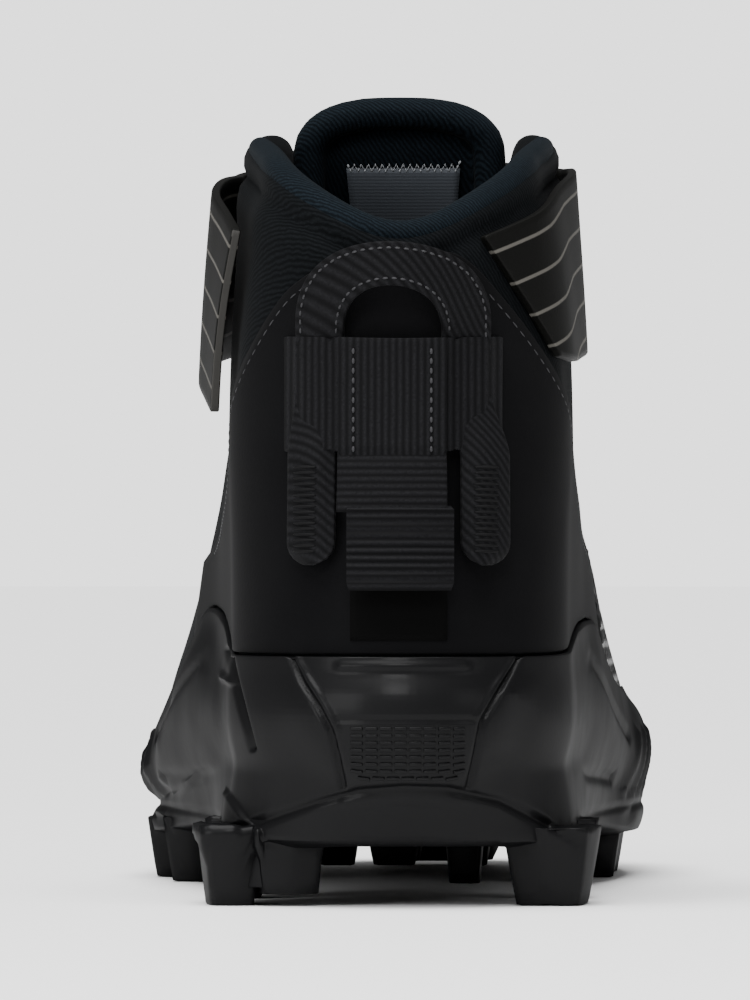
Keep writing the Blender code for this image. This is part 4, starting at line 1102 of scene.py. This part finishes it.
strip = smoothed(copied("heel_tab", "webbing_strip"), 3, crease=0.6)
only(strip)
bpy.ops.object.mode_set(mode="EDIT")
bpy.ops.mesh.select_all(action="SELECT")
bpy.ops.mesh.bisect(plane_co=(0, 0, FOLD_HEIGHT - 1 * MM), plane_no=(0, 0, 1), clear_inner=True,
                    use_fill=True)
bpy.ops.object.mode_set(mode="OBJECT")
relief(strip, lambda places, normals: -TURN_DEPTH * np.exp(
    -((places[:, 2] - STRIP_TURN) / TURN_WIDTH) ** 2) * (normals[:, 1] < 0))
belongs(strip, "webbing", "heel_tab")
painted(strip, ribbed_across)
strip.data.materials.append(ribbed_up)
for polygon in strip.data.polygons:
    polygon.material_index = int(polygon.center.z > STRIP_TURN)

TAB_LEFT, TAB_RIGHT, TAB_LOW, TAB_HIGH = 240.5, 287.5, 553.5, 521.5
TAB_COLUMNS, TAB_ROWS = 24, 48
TAB_RIB, TAB_RIPPLE, TAB_LIFT, TAB_LEAN, TAB_THICK = 1.75 * MM, 0.28 * MM, 6.4 * MM, 0.9 * MM, 2.4 * MM
PIXEL = 0.488 * MM

heel_surface = surface(quarter)
bm = bmesh.new()
sheet = []
for j in range(TAB_ROWS + 1):
    share = j / TAB_ROWS
    pixel_y = TAB_HIGH + (TAB_LOW - TAB_HIGH) * share
    ripple = TAB_RIPPLE * math.cos(2 * math.pi * (pixel_y - TAB_HIGH) * PIXEL / TAB_RIB)
    lift = TAB_LIFT + TAB_LEAN * share + ripple
    row = []
    for i in range(TAB_COLUMNS + 1):
        pixel_x = TAB_LEFT + (TAB_RIGHT - TAB_LEFT) * i / TAB_COLUMNS
        row.append(bm.verts.new(seen(heel_surface, (pixel_x, pixel_y))[0] - Vector((0, lift, 0))))
    sheet.append(row)
covered(bm, sheet)
tab = built(bm, "folded_tab")
shaped(tab, "SOLIDIFY", thickness=TAB_THICK, offset=-1)
shaped(tab, "BEVEL", width=0.6 * MM, segments=3, limit_method="ANGLE", angle_limit=math.radians(60))
belongs(tab, "webbing", "heel_tab")
painted(tab, ribbed_across)

# Painted shadow: a near-black sheet laid on the heel under the tab, where the tab's shadow falls.
tab_shadow_pile = finish_of("painted tab shadow", "#060606", 1.0, Specular_IOR_Level=0.03)[0]
TAB_SHADOW = [(242, 553), (284, 553), (242, 579), (284, 579)]
patch("tab_shadow_patch", heel_surface, TAB_SHADOW, (14, 10), 0.05 * MM, 0.35 * MM, tab_shadow_pile, "webbing")

# %% [markdown]
# Two columns of stitches sew the strip to the band. Their points are seen on the strip, every
# two pixels down.

# %% Stitch columns on the strip
COLUMN_TOP, COLUMN_FOOT, COLUMNS = 451, 496, (243.2, 277.2)

strip_surface = surface(strip)
columns = [[seen(strip_surface, pixel, 0.15 * MM)[0]
            for pixel in between([(x, COLUMN_TOP), (x, COLUMN_FOOT)], 2)] for x in COLUMNS]
stitched("strip_stitches", columns, thread, "webbing", 1.3 * MM, 0.8 * MM, 0.7 * MM)

# %% [markdown]
# ## The ankle strap
# The strap's pale lines run along its upper edge, 8 mm apart, so its material needs to know how
# far below that edge a point is. The edge is found on the coarse copy, and the distance from
# it, counted in lines, is written on the fine mesh. The free end, at the lateral side, shows the
# strap's cut core.

# %% The strap
WALL, LINE_PITCH, FREE_END = 2.6 * MM, 8 * MM, -28 * MM

strap = copied("ankle_strap", "strap_band")
mesh = strap.data
upper_edge = []
for polygon in mesh.polygons:
    sides = [(mesh.vertices[one].co, mesh.vertices[two].co) for one, two in polygon.edge_keys]
    if polygon.normal.z > 0.5 and min((one - two).length for one, two in sides) < WALL:
        upper_edge += [(one.copy(), two.copy()) for one, two in sides]
smoothed(strap, 3, crease=0.8)
lanes = np.min([away_from(arrays(strap)[0], side) for side in upper_edge], axis=0) / LINE_PITCH
across = strap.data.attributes.new("across", "FLOAT", "POINT")
across.data.foreach_set("value", lanes)
belongs(strap, "strap_synthetic", "ankle_strap")
painted(strap, strap_skin)
strap.data.materials.append(cut_edge)
for polygon in strap.data.polygons:
    polygon.material_index = int(polygon.normal.y < -0.8 and polygon.center.x < FREE_END)

# %% [markdown]
# ## Eyestays, eyelets and laces
# Each eyestay is punched at six places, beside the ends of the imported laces, and a ring binds
# each hole. A line of stitches runs along the stay's edges.

# %% Eyestays
EYELET_RADIUS, RING_RADIUS, RING_THICK = 2.1 * MM, 2.5 * MM, 0.65 * MM
FIRST_ROW, ROW_STEP, ROWS = -28.8 * MM, 13.88 * MM, 6

lace_points = [vert.co.copy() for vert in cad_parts["laces"].data.vertices]
stays, eyelets = [], {}
for side, name in ((-1, "lateral"), (1, "medial")):
    stay = copied("eyestay_" + name, "stay_" + name)
    edges = sharp_edges(stay, 50)
    smoothed(stay, 2)
    stay_surface = surface(stay)
    for row in range(ROWS):
        y = FIRST_ROW + ROW_STEP * row
        near = [place for place in lace_points if abs(place.y - y) < 3 * MM and place.x * side > 0]
        far = max(near, key=lambda place: place.x * side)
        place, normal = stay_surface.find_nearest(far)[:2]
        if not faces_out(place, normal):
            normal = -normal
        eyelets[side, row] = (place, normal)
        bpy.ops.object.select_all(action="DESELECT")
        bpy.ops.mesh.primitive_cylinder_add(vertices=24, radius=EYELET_RADIUS, depth=8 * MM,
                                            location=place,
                                            rotation=normal.to_track_quat("Z", "Y").to_euler())
        punch = bpy.context.object
        shaped(stay, "BOOLEAN", object=punch, operation="DIFFERENCE", solver="EXACT")
        bpy.data.objects.remove(punch)
    belongs(stay, "synthetic_suede", "eyestay_" + name)
    painted(stay, suede)
    stays.append(stay)
    stay_lines = level_lines(stay, edges, 1.6 * MM, lambda place: True, 6 * MM)
    stitched("stay_stitches_" + name, stay_lines, thread, "synthetic_suede", 1.8 * MM, 0.9 * MM,
             0.4 * MM)

rings = []
ring_metal = finish_of("lacquered eyelet", "#1C1C1D", 0.3, Metallic=0.6)[0]
for place, normal in eyelets.values():
    bpy.ops.object.select_all(action="DESELECT")
    bpy.ops.mesh.primitive_torus_add(major_radius=RING_RADIUS, minor_radius=RING_THICK,
                                     major_segments=28, minor_segments=8,
                                     location=place + normal * 0.3 * MM,
                                     rotation=normal.to_track_quat("Z", "Y").to_euler())
    rings.append(bpy.context.object)
eyelet_rings = joined(rings, "eyelet_rings")
bpy.ops.object.transform_apply(location=True, rotation=True, scale=True)
belongs(eyelet_rings, "synthetic_suede")
painted(eyelet_rings, ring_metal)

# %% [markdown]
# The lace goes through the rings, up over the tongue and down on the other side, and at each
# crossing one end goes over the other. It is flat, so it is made as a ribbon: at each point of
# its path a rounded oblong is set square to the path and level with the surface below. The ends
# of the lace stop at the top eyelets.


# %% Laces
LACE_WIDTH, LACE_THICK, LACE_RISE, LACE_SINK = 5.2 * MM, 1.5 * MM, 1.1 * MM, 1.6 * MM
LACE_SIDES, LACE_STEPS = 12, 14
IN_RING, LOOK_FROM, SLACK = 0.3 * MM, 12 * MM, 1.0 * MM


def ribbon(bm, path):
    """Adds a closed flat ribbon along a path of points with the surface's normals."""
    rings = []
    for i, (place, normal) in enumerate(path):
        forward = (path[min(i + 1, len(path) - 1)][0] - path[max(i - 1, 0)][0]).normalized()
        sideways = forward.cross(normal).normalized()
        upward = sideways.cross(forward).normalized()
        ring = []
        for corner in range(LACE_SIDES):
            turn = 2 * math.pi * corner / LACE_SIDES
            flat_x = math.copysign(abs(math.cos(turn)) ** 0.5, math.cos(turn)) * LACE_WIDTH / 2
            flat_y = math.copysign(abs(math.sin(turn)) ** 0.8, math.sin(turn)) * LACE_THICK / 2
            ring.append(bm.verts.new(place + sideways * flat_x + upward * flat_y))
        rings.append(ring)
    for one, two in zip(rings, rings[1:]):
        for i in range(LACE_SIDES):
            after = (i + 1) % LACE_SIDES
            bm.faces.new((one[i], one[after], two[after], two[i]))
    bm.faces.new(list(reversed(rings[0])))
    bm.faces.new(rings[-1])


below = surface(tongue, shell, *stays)


def crossing(start, end, lift):
    """The lace's path from one eyelet to another, over the tongue."""
    (first, first_normal), (last, last_normal) = start, end
    middle_normal = (first_normal + last_normal).normalized()
    path = [(first - first_normal * LACE_SINK, first_normal),
            (first + first_normal * IN_RING, first_normal)]
    for i in range(1, LACE_STEPS):
        share = i / LACE_STEPS
        straight = first.lerp(last, share)
        place = below.ray_cast(straight + middle_normal * LOOK_FROM, -middle_normal)[0]
        level = straight + middle_normal * SLACK * math.sin(math.pi * share)
        if place is None or (place - level).dot(middle_normal) < 0:
            place = level
        rise = LACE_RISE + lift * math.exp(-((share - 0.5) / 0.16) ** 2)
        path.append((place + middle_normal * rise, middle_normal))
    path += [(last + last_normal * IN_RING, last_normal),
             (last - last_normal * LACE_SINK, last_normal)]
    for _ in range(2):
        path[2:-2] = [((a[0] + b[0] + c[0]) / 3, b[1])
                      for a, b, c in zip(path[1:], path[2:], path[3:-1])]
    return path


bm = bmesh.new()
ribbon(bm, crossing(eyelets[-1, ROWS - 1], eyelets[1, ROWS - 1], 0))
for row in range(ROWS - 1):
    under, over = ((-1, 1) if row % 2 else (1, -1))
    ribbon(bm, crossing(eyelets[under, row + 1], eyelets[-under, row], 0))
    ribbon(bm, crossing(eyelets[over, row + 1], eyelets[-over, row], LACE_THICK * 1.1))
lacing = built(bm, "lacing")
shaped(lacing, "SUBSURF", levels=1, render_levels=1)
belongs(lacing, "lace_cord", "laces")
painted(lacing, lace_weave)

# %% [markdown]
# ## The insole
# A thin foam bed with a fabric face lies inside, seen only through the collar.

# %% The insole
insole = smoothed(copied("insole", "foam_bed"), 1)
belongs(insole, "insole_foam", "insole")
painted(insole, footbed)

# %% [markdown]
# ## The stage
# A plain white floor catches the soft shadow under the lugs.

# %% Floor
bpy.ops.object.select_all(action="DESELECT")
bpy.ops.mesh.primitive_plane_add(size=12, location=(0, 0, 0))
floor = bpy.context.object
floor.name = "floor"
floor.data.materials.append(finish_of("white card", "#F6F6F6", 0.6)[0])
